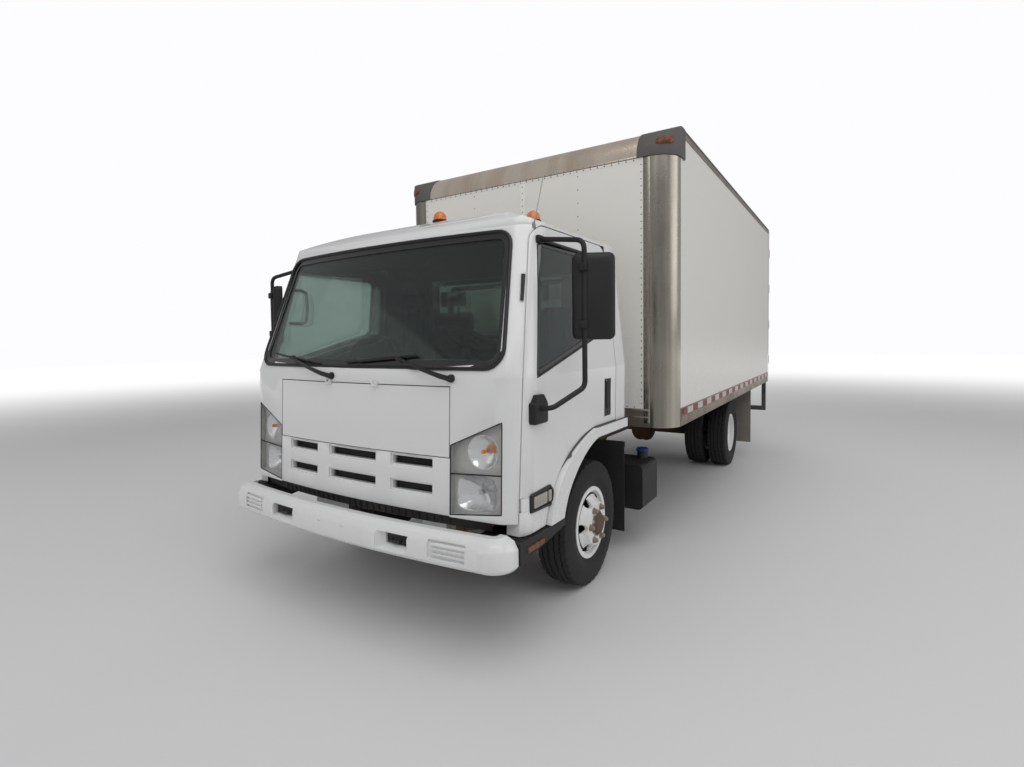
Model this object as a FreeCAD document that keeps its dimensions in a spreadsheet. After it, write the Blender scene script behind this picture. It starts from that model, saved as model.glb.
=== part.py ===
import FreeCAD, Part
import math
import operator
import os
import Sketcher

# Box truck with a forward-control tilting cab, a dry-freight body and twin rear wheels.
# Millimetres. +X is the vehicle's left, -Y its front, +Z up. The origin is on the ground,
# at the middle of the length and width.

SIZES = {
    # Whole vehicle
    "front_overhang": 1250,
    "wheelbase": 3810,
    "cab_gap_setback": 753,
    "body_length": 4877,
    "body_half_width": 1219,
    "body_top": 3000,
    "body_bottom": 868,
    "panel_gap": 5,
    "running_gap": 0.3,
    # Cab form: half width and front of its plan at three heights, then the roof
    "sill_level": 600,
    "sill_half": 1020,
    "sill_front": 1105,
    "belt_level": 1340,
    "belt_half": 1030,
    "belt_front": 1075,
    "header_level": 2120,
    "header_half": 948,
    "header_front": 810,
    "cab_top_level": 2400,
    "front_bow": 60,
    "corner_round": 145,
    "rear_round": 90,
    "cab_back": 380,
    "roof_crest": 2292,
    "roof_crest_place": 250,
    "roof_rear": 2272,
    "brow_place": 880,
    "brow_level": 2035,
    "roof_arch_rise": 42,
    "roof_side_level": 2080,
    "roof_side_half": 1000,
    "roof_crown": 228,
    "cab_wall": 45,
    "roof_seam": 2085,
    "cab_front_bottom": 665,
    # Cab floor and bulkhead
    "footwell_level": 700,
    "floor_plate": 35,
    "tunnel_half": 490,
    "tunnel_level": 870,
    "platform_level": 1100,
    "engine_bay_half": 340,
    "engine_bay_level": 1060,
    "platform_front": 640,
    "bulkhead_place": 945,
    "bulkhead_plate": 30,
    "cowl_level": 1372,
    "cowl_plate": 40,
    # Door outline in side view, measured from the front axle
    "door_foot": 605,
    "door_front_low": 985,
    "door_front_belt": 950,
    "door_front_top": 745,
    "door_shoulder": 1990,
    "door_top_front": 660,
    "door_top_rear": 60,
    "door_corner_rise": 16,
    "door_rear": 140,
    "door_rear_shoulder": 2010,
    # Door window
    "window_front": 868,
    "window_sill_front": 1330,
    "window_sill_rear": 1545,
    "window_rear": 35,
    "window_top_front": 712,
    "window_top": 2005,
    "window_round": 48,
    # Arch edge
    "arch_front": 772,
    "arch_mid": 560,
    "arch_mid_level": 880,
    "arch_top_start": 180,
    "arch_top": 1003,
    "arch_width": 55,
    "arch_foot_width": 142,
    "arch_mid_width": 60,
    "arch_mid_drop": 90,
    "arch_low_rise": 34,
    "arch_high_rise": 24,
    "arch_out": 1052,
    "arch_in": 985,
    "liner_in": 500,
    "liner_plate": 8,
    # Glass
    "glass_inset": 8,
    "glass_plate": 6,
    "windshield_base": 1400,
    "windshield_base_half": 896,
    "windshield_top": 2052,
    "windshield_top_half": 800,
    "windshield_dip": 30,
    "windshield_round": 70,
    "rear_window_half": 560,
    "rear_window_base": 1520,
    "rear_window_top": 1950,
    # Front panels
    "lid_half": 648,
    "lid_base": 945,
    "lid_top": 1288,
    "lid_plate": 25,
    "lid_hinge_place": 1084,
    "lid_hinge_level": 1285,
    "lid_hinge_side": 180,
    "lid_hinge_width": 18,
    "lid_hinge_radius": 8,
    "lid_hinge_pin": 3,
    "grille_base": 668,
    "slot_height": 42,
    "slot_middle_half": 175,
    "slot_outer_in": 295,
    "slot_outer_out": 545,
    "slot_upper": 888,
    "slot_lower": 760,
    "lamp_in": 654,
    "lamp_inner_top": 1012,
    "lamp_outer": 928,
    "lamp_outer_top": 1135,
    "lamp_outer_base": 705,
    "lamp_inner_base": 675,
    # Cab inside
    "dash_rear": 640,
    "dash_top": 1350,
    "dash_base": 1020,
    "dash_half": 925,
    "wheel_rim_radius": 205,
    "wheel_rim_tube": 14,
    "wheel_side": 400,
    "wheel_place": 560,
    "wheel_level": 1455,
    "wheel_tilt": 38,
    "seat_cushion_top": 1290,
    "seat_front": 330,
    "seat_back_front": 150,
    "seat_back_depth": 105,
    "seat_back_top": 1800,
    "seat_soft": 38,
    "seat_width": 500,
    "driver_seat_in": 170,
    "bench_in": 80,
    "bench_out": 890,
    "headrest_width": 260,
    "headrest_height": 150,
    "headrest_depth": 70,
    "headrest_rise": 50,
    "binnacle_half": 190,
    "binnacle_height": 55,
    # Panel details: recesses in the doors and grille, and the roof lamps
    "panel_recess": 9,
    "handle_front": 40,
    "handle_rear": 60,
    "handle_base": 1048,
    "handle_height": 224,
    "handle_bar": 44,
    "side_lamp_front": 985,
    "side_lamp_rear": 722,
    "side_lamp_base": 716,
    "side_lamp_height": 64,
    "slot_lip": 9,
    "roof_lamp_radius": 50,
    "roof_lamp_rise": 58,
    "roof_lamp_side": 645,
    "roof_lamp_place": 200,
    "roof_lamp_middle_place": 290,
    # Steps
    "step_front": 1045,
    "step_rear": 590,
    "step_top": 597,
    "step_base": 500,
    "step_out": 1035,
    "step_in": 800,
    # Mirrors
    "mirror_pole_side": 1205,
    "mirror_pole_place": 716,
    "mirror_pole_base": 1315,
    "mirror_pole_top": 1976,
    "mirror_pole_radius": 13,
    "mirror_head_width": 200,
    "mirror_head_height": 412,
    "mirror_head_depth": 66,
    "mirror_head_base": 1508,
    "mirror_head_turn": 28,
    "mirror_soft": 24,
    "mirror_foot_front": 930,
    "mirror_foot_length": 130,
    "mirror_foot_base": 1115,
    "mirror_foot_height": 139,
    # Bumper and tilt pivot
    "bumper_top": 628,
    "bumper_base": 482,
    "bumper_half": 1028,
    "bumper_bow": 62,
    "bumper_round": 120,
    "bumper_plate": 95,
    "bumper_side_rear": 1050,
    "bumper_lip": 14,
    "bumper_lip_rise": 18,
    "bumper_face_top": 575,
    "bumper_brow": 22,
    "bumper_brow_level": 612,
    "bumper_shelf": 60,
    "tow_hole_depth": 80,
    "tow_lead_in": 45,
    "louvre_in": 635,
    "louvre_out": 835,
    "louvre_base": 515,
    "louvre_height": 82,
    "louvre_depth": 14,
    "louvre_bar_depth": 5,
    "plate_hole_spacing": 177.8,
    "plate_hole_level": 568,
    "plate_hole_radius": 3.5,
    "tow_hole_in": 365,
    "tow_hole_out": 520,
    "tow_hole_base": 528,
    "tow_hole_height": 62,
    "pivot_place": 990,
    "pivot_level": 660,
    "pivot_pin": 14,
    "pivot_in": 462,
    "pivot_plate": 40,
    # Frame
    "frame_half": 425.5,
    "rail_height": 180,
    "rail_top": 820,
    "rail_flange": 70,
    "rail_web": 6,
    "rail_front": 980,
    "rail_end_gap": 90,
    "member_height": 110,
    "member_thick": 60,
    "bracket_base": 470,
    "bracket_front_top": 552,
    # Engine and drive
    "engine_half": 280,
    "engine_base": 440,
    "engine_top": 930,
    "engine_front": 420,
    "engine_rear": 480,
    "gearbox_half": 170,
    "gearbox_base": 400,
    "gearbox_top": 620,
    "gearbox_length": 620,
    "shaft_radius": 45,
    "shaft_level": 470,
    # Axles, springs, steering
    "front_half_track": 832.5,
    "rear_half_track": 825,
    "twin_spacing": 254,
    "tyre_radius": 380,
    "tyre_width": 215,
    "rim_radius": 203,
    "rim_width": 178,
    "rim_thick": 12,
    "kingpin_side": 690,
    "kingpin_radius": 18,
    "kingpin_clear": 0.05,
    "beam_thick": 70,
    "beam_height": 80,
    "beam_drop": 90,
    "fork_gap": 5,
    "fork_plate": 28,
    "fork_radius": 45,
    "spindle_radius": 26,
    "steer_arm_length": 170,
    "tie_rod_radius": 14,
    "ball_radius": 16,
    "hub_radius": 78,
    "hub_bore_clear": 0.06,
    "hub_length": 155,
    "hub_flange_radius": 128,
    "drum_radius": 158,
    "drum_width": 95,
    "rim_lip": 14.5,
    "rim_well": 16,
    "disc_thick": 13,
    "disc_bore": 76,
    "nut_face_radius": 128,
    "hand_hole_radius": 27,
    "hand_hole_circle": 156,
    "hand_hole_count": 6,
    "rear_tube_radius": 62,
    "diff_radius": 175,
    "leaf_half_length": 600,
    "leaf_width": 70,
    "leaf_stack": 60,
    "leaf_camber": 85,
    # Things carried by the frame
    "tank_in": 510,
    "tank_out": 985,
    "tank_front": 1250,
    "tank_length": 900,
    "tank_base": 350,
    "tank_top": 760,
    "tank_round": 70,
    "tank_strap": 5,
    "tank_strap_width": 45,
    "filler_radius": 42,
    "battery_front": 640,
    "battery_length": 470,
    "battery_base": 420,
    "urea_out": 1042,
    "urea_front": 610,
    "urea_length": 330,
    "urea_base": 305,
    "urea_top": 620,
    "urea_cap_radius": 38,
    "muffler_side": 640,
    "muffler_level": 560,
    "muffler_radius": 115,
    "muffler_front": 2280,
    "muffler_length": 620,
    "flap_plate": 8,
    "front_flap_place": 505,
    "front_flap_out": 950,
    "front_flap_in": 590,
    "front_flap_base": 175,
    "flap_bar": 14,
    "flap_bar_level": 760,
    "flap_bar_height": 40,
    "rear_flap_gap": 145,
    "rear_flap_in": 800,
    "rear_flap_base": 190,
    "guard_base": 448,
    "guard_height": 60,
    "guard_half": 1190,
    "guard_thick": 50,
    # Body
    "wall": 38,
    "deck_top": 985,
    "deck_plate": 40,
    "floor_member_width": 45,
    "floor_member_count": 12,
    "sill_runner_width": 60,
    "post_round": 170,
    "post_wall": 38,
    "header_round": 200,
    "cap_width": 262,
    "cap_height": 212,
    "cap_length": 260,
    "cap_proud": 10,
    "bottom_rail_height": 132,
    "rail_proud": 4,
    "rail_lamp_length": 70,
    "rail_lamp_height": 26,
    "top_rail_height": 55,
    "rear_frame_depth": 100,
    "rear_post": 62,
    "cap_lens_place": 74,
    "cap_lens_drop": 139,
    "cap_lens_half": 54,
    "cap_lens_height": 50,
    "cap_lens_rise": 6,
    "rear_header": 120,
    "cargo_door_plate": 36,
    "cargo_door_gap": 6,
    "cargo_pin_side": 1207,
    "cargo_pin_out": 52,
    "cargo_pin_radius": 6,
    "cargo_knuckle_radius": 12,
    "cargo_hinge_height": 90,
    "cargo_hinge_count": 4,
    "cargo_strap_length": 330,
    "cargo_strap_plate": 8,
    "lock_rod_radius": 12,
    "lock_rod_place": 190,
    "tail_lamp_radius": 52,
    "tail_lamp_plate": 12,
    "tail_lamp_side": 930,
}

OPERATIONS = {"+": operator.add, "-": operator.sub, "*": operator.mul, "/": operator.truediv}


class Size:
    """A length that knows both its number and the sheet formula behind it."""

    def __init__(self, number, formula):
        self.number = number
        self.formula = formula

    def __add__(self, other):
        return combine(self, "+", other)

    def __radd__(self, other):
        return combine(other, "+", self)

    def __sub__(self, other):
        return combine(self, "-", other)

    def __rsub__(self, other):
        return combine(other, "-", self)

    def __mul__(self, other):
        return combine(self, "*", other)

    def __rmul__(self, other):
        return combine(other, "*", self)

    def __truediv__(self, other):
        return combine(self, "/", other)

    def __neg__(self):
        return combine(0, "-", self)


def as_size(value):
    return value if isinstance(value, Size) else Size(float(value), f"({float(value)})")


def combine(left, sign, right):
    left, right = as_size(left), as_size(right)
    number = OPERATIONS[sign](left.number, right.number)
    return Size(number, f"({left.formula} {sign} {right.formula})")


class Sheet:
    """The spreadsheet of driving dimensions, read by name as Size values."""

    def __init__(self, document, sizes):
        table = document.addObject("Spreadsheet::Sheet", "sizes")
        for row, (name, number) in enumerate(sizes.items(), start=1):
            table.set(f"A{row}", name)
            table.set(f"B{row}", str(number))
            table.setAlias(f"B{row}", name)
            setattr(self, name, Size(float(number), f"sizes.{name}"))


doc = FreeCAD.newDocument("box_truck")
s = Sheet(doc, SIZES)
doc.recompute()
nodes = []

# Places along the vehicle
behind_body = s.cargo_pin_out + s.cargo_knuckle_radius
total_length = s.front_overhang + s.cab_gap_setback + s.body_length + behind_body
axle = s.front_overhang - total_length / 2
rear_axle = axle + s.wheelbase
body_front = axle + s.cab_gap_setback
body_rear = body_front + s.body_length
rail_base = s.rail_top - s.rail_height
deck_base = s.deck_top - s.deck_plate
inside_half = s.body_half_width - s.wall
roof_base = s.body_top - s.wall
door_top = s.roof_seam - s.panel_gap
platform_underside = s.arch_top - s.arch_width


def bind(thing, field, value):
    thing.setExpression(field, as_size(value).formula)


def place(thing, x=0, y=0, z=0):
    bind(thing, "Placement.Base.x", x)
    bind(thing, "Placement.Base.y", y)
    bind(thing, "Placement.Base.z", z)


def vector(x, y, z):
    return FreeCAD.Vector(as_size(x).number, as_size(y).number, as_size(z).number)


def block(name, x, y, z):
    """A box between pairs of limits."""
    box = doc.addObject("Part::Box", name)
    bind(box, "Length", x[1] - as_size(x[0]))
    bind(box, "Width", y[1] - as_size(y[0]))
    bind(box, "Height", z[1] - as_size(z[0]))
    place(box, x[0], y[0], z[0])
    return box


TURN_TO = {
    "X": FreeCAD.Rotation(FreeCAD.Vector(0, 1, 0), 90),
    "Y": FreeCAD.Rotation(FreeCAD.Vector(1, 0, 0), -90),
    "Z": FreeCAD.Rotation(),
}


def rod(name, along, start, radius, length):
    """A round bar from a start point in the + direction of one axis."""
    bar = doc.addObject("Part::Cylinder", name)
    bind(bar, "Radius", radius)
    bind(bar, "Height", length)
    bar.Placement = FreeCAD.Placement(FreeCAD.Vector(), TURN_TO[along])
    place(bar, *start)
    return bar


def fuse(name, parts):
    joined = doc.addObject("Part::MultiFuse", name)
    joined.Shapes = list(parts)
    return joined


def cut(name, base, tools):
    result = doc.addObject("Part::Cut", name)
    result.Base = base
    result.Tool = tools[0] if len(tools) == 1 else fuse(name + "_tools", tools)
    return result


def common(name, first, second):
    result = doc.addObject("Part::Common", name)
    result.Base = first
    result.Tool = second
    return result


def mirrored(name, source):
    copy = doc.addObject("Part::Mirroring", name)
    copy.Source = source
    copy.Normal = FreeCAD.Vector(1, 0, 0)
    return copy


def group(name, parts):
    """Solids of one node that don't touch each other."""
    kept = doc.addObject("Part::Compound", name)
    kept.Links = list(parts)
    return kept


def pair(name, source):
    """A left piece and its mirror image in one node."""
    return group(name, [source, mirrored(name + "_right", source)])


def rounded(name, x, y, z, radius):
    """A box between pairs of limits with all its edges rounded."""
    base = block(name + "_box", x, y, z)
    soft = doc.addObject("Part::Fillet", name)
    soft.Base = base
    number = as_size(radius).number
    soft.Edges = [(index, number, number) for index in range(1, 13)]
    return soft


def soft_outline(low, high, radius):
    """A four-sided outline from its low corner to its high one, with round corners."""
    rise = radius * (1 - math.sqrt(0.5))
    return [
        (low[0] + radius, low[1], rise),
        (high[0] - radius, low[1]),
        (high[0], low[1] + radius, rise),
        (high[0], high[1] - radius),
        (high[0] - radius, high[1], rise),
        (low[0] + radius, high[1]),
        (low[0], high[1] - radius, rise),
        (low[0], low[1] + radius),
    ]


def node(label, thing):
    thing.Label = label
    nodes.append(thing)
    return thing


def constrain(sketch, kind, *where):
    """Adds a driving constraint whose last argument is a Size."""
    value = as_size(where[-1])
    index = sketch.addConstraint(Sketcher.Constraint(kind, *where[:-1], value.number))
    sketch.setExpression(f"Constraints[{index}]", value.formula)


def draw(sketch, outline):
    """Draws a closed outline. A point is (a, b), or (a, b, rise) when it ends an arc.

    The rise is the arc's height over its chord, on the right of the way travelled."""
    corners = [tuple(as_size(value) for value in point) for point in outline]
    ends = []
    for index, point in enumerate(corners):
        before = corners[index - 1]
        start = FreeCAD.Vector(before[0].number, before[1].number, 0)
        stop = FreeCAD.Vector(point[0].number, point[1].number, 0)
        if len(point) == 2:
            sketch.addGeometry(Part.LineSegment(start, stop))
            ends.append((1, 2))
            continue
        rise = point[2]
        way = stop - start
        side = FreeCAD.Vector(way.y, -way.x, 0).normalize()
        sketch.addGeometry(Part.Arc(start, (start + stop) * 0.5 + side * rise.number, stop))
        ends.append((1, 2) if rise.number > 0 else (2, 1))
        across, up = point[0] - before[0], point[1] - before[1]
        height = rise if rise.number > 0 else -rise
        radius = ((across * across + up * up) / 4 + height * height) / (2 * height)
        constrain(sketch, "Radius", index, radius)
    for index, point in enumerate(corners):
        following = (index + 1) % len(corners)
        constrain(sketch, "DistanceX", -1, 1, index, ends[index][1], point[0])
        constrain(sketch, "DistanceY", -1, 1, index, ends[index][1], point[1])
        joint = Sketcher.Constraint("Coincident", index, ends[index][1], following, ends[following][0])
        sketch.addConstraint(joint)


def sketch_on(body, role, outline, offset=0):
    plane = [item for item in body.Origin.OriginFeatures if item.Role == role][0]
    sketch = body.newObject("Sketcher::SketchObject", body.Name + "_outline")
    sketch.AttachmentSupport = (plane, [""])
    sketch.MapMode = "FlatFace"
    bind(sketch, "AttachmentOffset.Base.z", offset)
    draw(sketch, outline)
    return sketch


def plate(name, along, outline, low, high):
    """An outline drawn across one axis and padded along it from low to high.

    Across X the outline is (y, z), across Y it is (x, z), across Z it is (x, y)."""
    role = {"X": "YZ_Plane", "Y": "XZ_Plane", "Z": "XY_Plane"}[along]
    low, high = as_size(low), as_size(high)
    body = doc.addObject("PartDesign::Body", name)
    sketch = sketch_on(body, role, outline, -high if along == "Y" else low)
    pad = body.newObject("PartDesign::Pad", name + "_pad")
    pad.Profile = sketch
    bind(pad, "Length", high - low)
    sketch.Visibility = False
    return body


def turned(name, outline, centre):
    """An outline (along the axle, radius) revolved about the axle line through centre."""
    body = doc.addObject("PartDesign::Body", name)
    sketch = sketch_on(body, "XY_Plane", outline)
    turn = body.newObject("PartDesign::Revolution", name + "_turn")
    turn.Profile = sketch
    turn.ReferenceAxis = (sketch, ["H_Axis"])
    turn.Angle = 360
    place(body, *centre)
    return body


def tube(name, points, radius, bend):
    """A round tube along straight runs with rounded corners, set from the sheet's numbers."""
    edges = []
    corner = points[0]
    for index in range(1, len(points) - 1):
        before = (points[index - 1] - points[index]).normalize()
        after = (points[index + 1] - points[index]).normalize()
        half = (math.pi - before.getAngle(after)) / 2
        reach = bend * math.tan(half)
        first = points[index] + before * reach
        last = points[index] + after * reach
        inward = (before + after).normalize()
        middle = points[index] + inward * (bend / math.cos(half) - bend)
        edges.append(Part.LineSegment(corner, first).toShape())
        edges.append(Part.Arc(first, middle, last).toShape())
        corner = last
    edges.append(Part.LineSegment(corner, points[-1]).toShape())
    path = Part.Wire(edges)
    ring = Part.Wire(Part.Circle(points[0], points[1] - points[0], radius).toShape())
    pipe = doc.addObject("Part::Feature", name)
    pipe.Shape = path.makePipeShell([ring], True, True)
    return pipe


# Cab form

cab_levels = [
    (s.sill_level, s.sill_half, s.sill_front),
    (s.belt_level, s.belt_half, s.belt_front),
    (s.header_level, s.header_half, s.header_front),
]


def top_section():
    """The plan at the top of the form, on the straight line through belt and header."""
    further = (s.cab_top_level - s.header_level) / (s.header_level - s.belt_level)
    half = s.header_half - (s.belt_half - s.header_half) * further
    front = s.header_front - (s.belt_front - s.header_front) * further
    return s.cab_top_level, half, front


def cab_plan(half, front, inset):
    """A closed plan of the cab, drawn inwards by inset."""
    half = half - inset
    face = axle - front + s.front_bow + inset
    back = axle + s.cab_back - inset
    turn = s.corner_round - inset
    heel = s.rear_round - inset
    turn_rise = turn * (1 - math.sqrt(0.5))
    heel_rise = heel * (1 - math.sqrt(0.5))
    return [
        (half - turn, face, s.front_bow),
        (half, face + turn, turn_rise),
        (half, back - heel),
        (half - heel, back, heel_rise),
        (heel - half, back),
        (-half, back - heel, heel_rise),
        (-half, face + turn),
        (turn - half, face, turn_rise),
    ]


def cab_form(inset):
    """The cab's outer shape as one solid, drawn inwards by inset."""
    name = f"cab_form_{int(as_size(inset).number)}"
    sections = []
    for index, (level, half, front) in enumerate(cab_levels + [top_section()]):
        section = doc.addObject("Sketcher::SketchObject", f"{name}_plan_{index}")
        place(section, z=level - inset if index == 0 else level)
        draw(section, cab_plan(half, front, inset))
        sections.append(section)
    loft = doc.addObject("Part::Loft", name + "_loft")
    loft.Sections = sections
    loft.Solid = True
    loft.Ruled = True
    side = [
        (axle - 1400, 400),
        (axle + 600, 400),
        (axle + 600, s.roof_rear - inset),
        (axle - s.roof_crest_place, s.roof_crest - inset, 8),
        (axle - s.brow_place, s.brow_level - inset, s.roof_arch_rise),
        (axle - 1400, s.brow_level - inset - 250),
    ]
    side_form = plate(name + "_side", "X", side, -1300, 1300)
    front = [
        (-1300, 400),
        (1300, 400),
        (1300, s.roof_side_level - inset),
        (s.roof_side_half, s.roof_side_level - inset),
        (-s.roof_side_half, s.roof_side_level - inset, s.roof_crown),
        (-1300, s.roof_side_level - inset),
    ]
    crown_form = plate(name + "_crown", "Y", front, axle - 1500, axle + 700)
    form = doc.addObject("Part::MultiCommon", name)
    form.Shapes = [loft, side_form, crown_form]
    return form


def door_outline():
    """The door's edge in side view."""
    return [
        (axle - s.door_front_low, s.door_foot),
        (axle - s.arch_front - s.panel_gap, s.door_foot),
        (axle - s.arch_mid - s.panel_gap, s.arch_mid_level + s.panel_gap, -s.arch_low_rise),
        (axle - s.arch_top_start, s.arch_top + s.panel_gap, -s.arch_high_rise),
        (axle + s.door_rear, s.arch_top + s.panel_gap),
        (axle + s.door_rear, s.door_rear_shoulder),
        (axle + s.door_top_rear, door_top, 22),
        (axle - s.door_top_front, door_top),
        (axle - s.door_front_top, s.door_shoulder, s.door_corner_rise),
        (axle - s.door_front_belt, s.belt_level),
    ]


def arch_outline():
    """The white flare between the door's lower edge and the wheel opening."""
    rear = axle + s.cab_back - s.rear_round
    return [
        (axle - s.arch_front, s.door_foot, s.arch_low_rise),
        (axle - s.arch_front + s.arch_foot_width, s.door_foot),
        (axle - s.arch_mid + s.arch_mid_width, s.arch_mid_level - s.arch_mid_drop, -s.arch_low_rise / 2),
        (axle - s.arch_top_start, s.arch_top - s.arch_width, -s.arch_high_rise),
        (rear, s.arch_top - s.arch_width),
        (rear, s.arch_top),
        (axle - s.arch_top_start, s.arch_top),
        (axle - s.arch_mid, s.arch_mid_level, s.arch_high_rise),
    ]


def liner_outline():
    """The black liner's section, just under the flare's inner edge."""
    rear = axle + s.cab_back - s.rear_round
    foot = axle - s.arch_front + s.arch_foot_width
    mid = axle - s.arch_mid + s.arch_mid_width
    mid_level = s.arch_mid_level - s.arch_mid_drop
    top = s.arch_top - s.arch_width
    skin = s.liner_plate
    return [
        (foot, s.door_foot, s.arch_low_rise / 2),
        (foot + skin, s.door_foot),
        (mid + skin, mid_level - skin / 2, -s.arch_low_rise / 2),
        (axle - s.arch_top_start, top - skin, -s.arch_high_rise),
        (rear, top - skin),
        (rear, top),
        (axle - s.arch_top_start, top),
        (mid, mid_level, s.arch_high_rise),
    ]


def window_outline():
    bend = s.window_round
    rise = bend * (1 - math.sqrt(0.5))
    return [
        (axle - s.window_front, s.window_sill_front),
        (axle + s.window_rear - bend, s.window_sill_rear),
        (axle + s.window_rear, s.window_sill_rear + bend, rise),
        (axle + s.window_rear, s.window_top - bend),
        (axle + s.window_rear - bend, s.window_top, rise),
        (axle - s.window_top_front + bend, s.window_top),
        (axle - s.window_top_front, s.window_top - bend, rise),
    ]


# Cab panels

form_outside = cab_form(0)
form_inside = cab_form(s.cab_wall)
form_recess = cab_form(s.panel_recess)
cab_shell = cut("cab_shell", form_outside, [form_inside])
glass_shell = cut("glass_shell", cab_form(s.glass_inset), [cab_form(s.glass_inset + s.glass_plate)])
door_window = plate("door_window", "X", window_outline(), 700, 1250)


def windshield_outline():
    half, bend = s.windshield_base_half, s.windshield_round
    top = s.windshield_top_half
    rise = bend * (1 - math.sqrt(0.5))
    return [
        (half - bend, s.windshield_base, s.windshield_dip),
        (half, s.windshield_base + bend, rise),
        (top + bend * 0.6, s.windshield_top - bend),
        (top - bend * 0.4, s.windshield_top, rise),
        (bend * 0.4 - top, s.windshield_top),
        (-top - bend * 0.6, s.windshield_top - bend, rise),
        (-half, s.windshield_base + bend),
        (bend - half, s.windshield_base, rise),
    ]


def lamp_outline():
    return [
        (s.lamp_in, s.lamp_inner_base),
        (s.lamp_outer, s.lamp_outer_base),
        (s.lamp_outer, s.lamp_outer_top),
        (s.lamp_in, s.lamp_inner_top),
    ]


def front_block(name, half, low, high):
    """A cutter through the cab's front wall, across its middle."""
    return block(name, (-half, half), (axle - s.sill_front - 100, axle - s.belt_front + 200), (low, high))


windshield_cutter = plate("windshield_cutter", "Y", windshield_outline(), axle - 1300, axle - 400)
lamp_cutter = plate("lamp_cutter", "Y", lamp_outline(), axle - 1300, axle - 800)
lamp_cutter_right = mirrored("lamp_cutter_right", lamp_cutter)
rear_window_cutter = block(
    "rear_window_cutter",
    (-s.rear_window_half, s.rear_window_half),
    (axle + 200, axle + 500),
    (s.rear_window_base, s.rear_window_top),
)

def build_cab_front():
    """Pillars, cowl and corner panels: what is left round the glass, lid, grille and lamps."""
    share = (s.cab_front_bottom - s.door_foot) / (s.belt_level - s.door_foot)
    door_front = s.door_front_low - (s.door_front_low - s.door_front_belt) * share
    side = [
        (axle - 1300, s.cab_front_bottom),
        (axle - door_front - s.panel_gap, s.cab_front_bottom),
        (axle - s.door_front_belt - s.panel_gap, s.belt_level),
        (axle - s.door_front_top - s.panel_gap, s.door_shoulder),
        (axle - s.door_top_front, s.roof_seam, -s.door_corner_rise),
        (axle - 1300, s.roof_seam),
    ]
    region = plate("cab_front_region", "X", side, -1200, 1200)
    whole = common("cab_front_whole", cab_shell, region)
    gap = s.panel_gap
    openings = [
        windshield_cutter,
        front_block("lid_space", s.lid_half + gap, s.lid_base, s.lid_top + gap),
        front_block("grille_space", s.lamp_in, s.cab_front_bottom - 50, s.lid_base),
        lamp_cutter,
        lamp_cutter_right,
    ]
    opened = cut("cab_front_cut", whole, openings)
    on_lid, on_cab = lid_hinge_halves()
    node("cab_front", fuse("cab_front_joined", [opened] + on_cab))
    return on_lid


def lid_hinge_halves():
    """The lid's two knuckles, and the pins and lugs on the cab that hold them."""
    y, z = axle - s.lid_hinge_place, s.lid_hinge_level
    width, radius = s.lid_hinge_width, s.lid_hinge_radius
    start = s.lid_hinge_side - width / 2
    ear = width / 2
    back = y + radius * 3.5
    knuckle = rod("lid_knuckle", "X", (start, y, z), radius, width)
    tongue = block("lid_tongue", (start, start + width), (y, back), (z - radius, z))
    bore = rod("lid_knuckle_bore", "X", (start - 5, y, z), s.lid_hinge_pin + s.kingpin_clear, width + 10)
    moving = cut("lid_hinge_moving", fuse("lid_hinge_solid", [knuckle, tongue]), [bore])
    first = start - s.running_gap - ear
    second = start + width + s.running_gap
    parts = [rod("lid_pin", "X", (first, y, z), s.lid_hinge_pin, second + ear - first)]
    for name, side in (("first", first), ("second", second)):
        parts.append(rod(f"lid_lug_{name}", "X", (side, y, z), radius, ear))
        parts.append(block(f"lid_web_{name}", (side, side + ear), (y - radius, back),
                           (s.lid_top + s.panel_gap / 2, z + radius * 3)))
    fixed = fuse("lid_hinge_fixed", parts)
    on_lid = [moving, mirrored("lid_hinge_moving_right", moving)]
    on_cab = [fixed, mirrored("lid_hinge_fixed_right", fixed)]
    return on_lid, on_cab


def build_cab_roof():
    region = block("roof_region", (-1200, 1200), (axle - 1200, axle + 600), (s.roof_seam, s.roof_crest + 60))
    node("cab_roof", common("cab_roof_part", cab_shell, region))


def build_roof_lamps():
    """Three domed lamps along the front of the cab roof."""
    lamps = []
    outer = s.roof_lamp_side
    drop = s.roof_crown * outer * outer / (s.roof_side_half * s.roof_side_half)
    level = s.roof_side_level + s.roof_crown - drop
    spots = [
        (outer, s.roof_lamp_place, level),
        (-outer, s.roof_lamp_place, level),
        (0, s.roof_lamp_middle_place, s.roof_crest),
    ]
    for index, (side, place_y, seat) in enumerate(spots):
        dome = doc.addObject("Part::Ellipsoid", f"dome_{index}")
        bind(dome, "Radius1", s.roof_lamp_rise)
        bind(dome, "Radius2", s.roof_lamp_radius)
        bind(dome, "Radius3", s.roof_lamp_radius)
        place(dome, side, axle - place_y, seat)
        lamps.append(dome)
    node("roof_lamps", cut("roof_lamp_part", group("roof_lamp_group", lamps), [form_outside]))


def build_cab_back():
    """Rear wall with both rear corners, and the header rail over each door."""
    rear = axle + s.door_rear + s.panel_gap
    region = block("back_region", (-1200, 1200), (rear, axle + 600), (s.arch_top, s.roof_seam))
    whole = common("cab_back_whole", cab_shell, region)
    node("cab_back", cut("cab_back_cut", whole, [rear_window_cutter]))


def build_cab_glass():
    windshield = common("windshield_part", glass_shell, windshield_cutter)
    rear_glass = common("rear_glass_part", glass_shell, rear_window_cutter)
    node("cab_glass", group("cab_glass_group", [windshield, rear_glass]))


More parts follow.
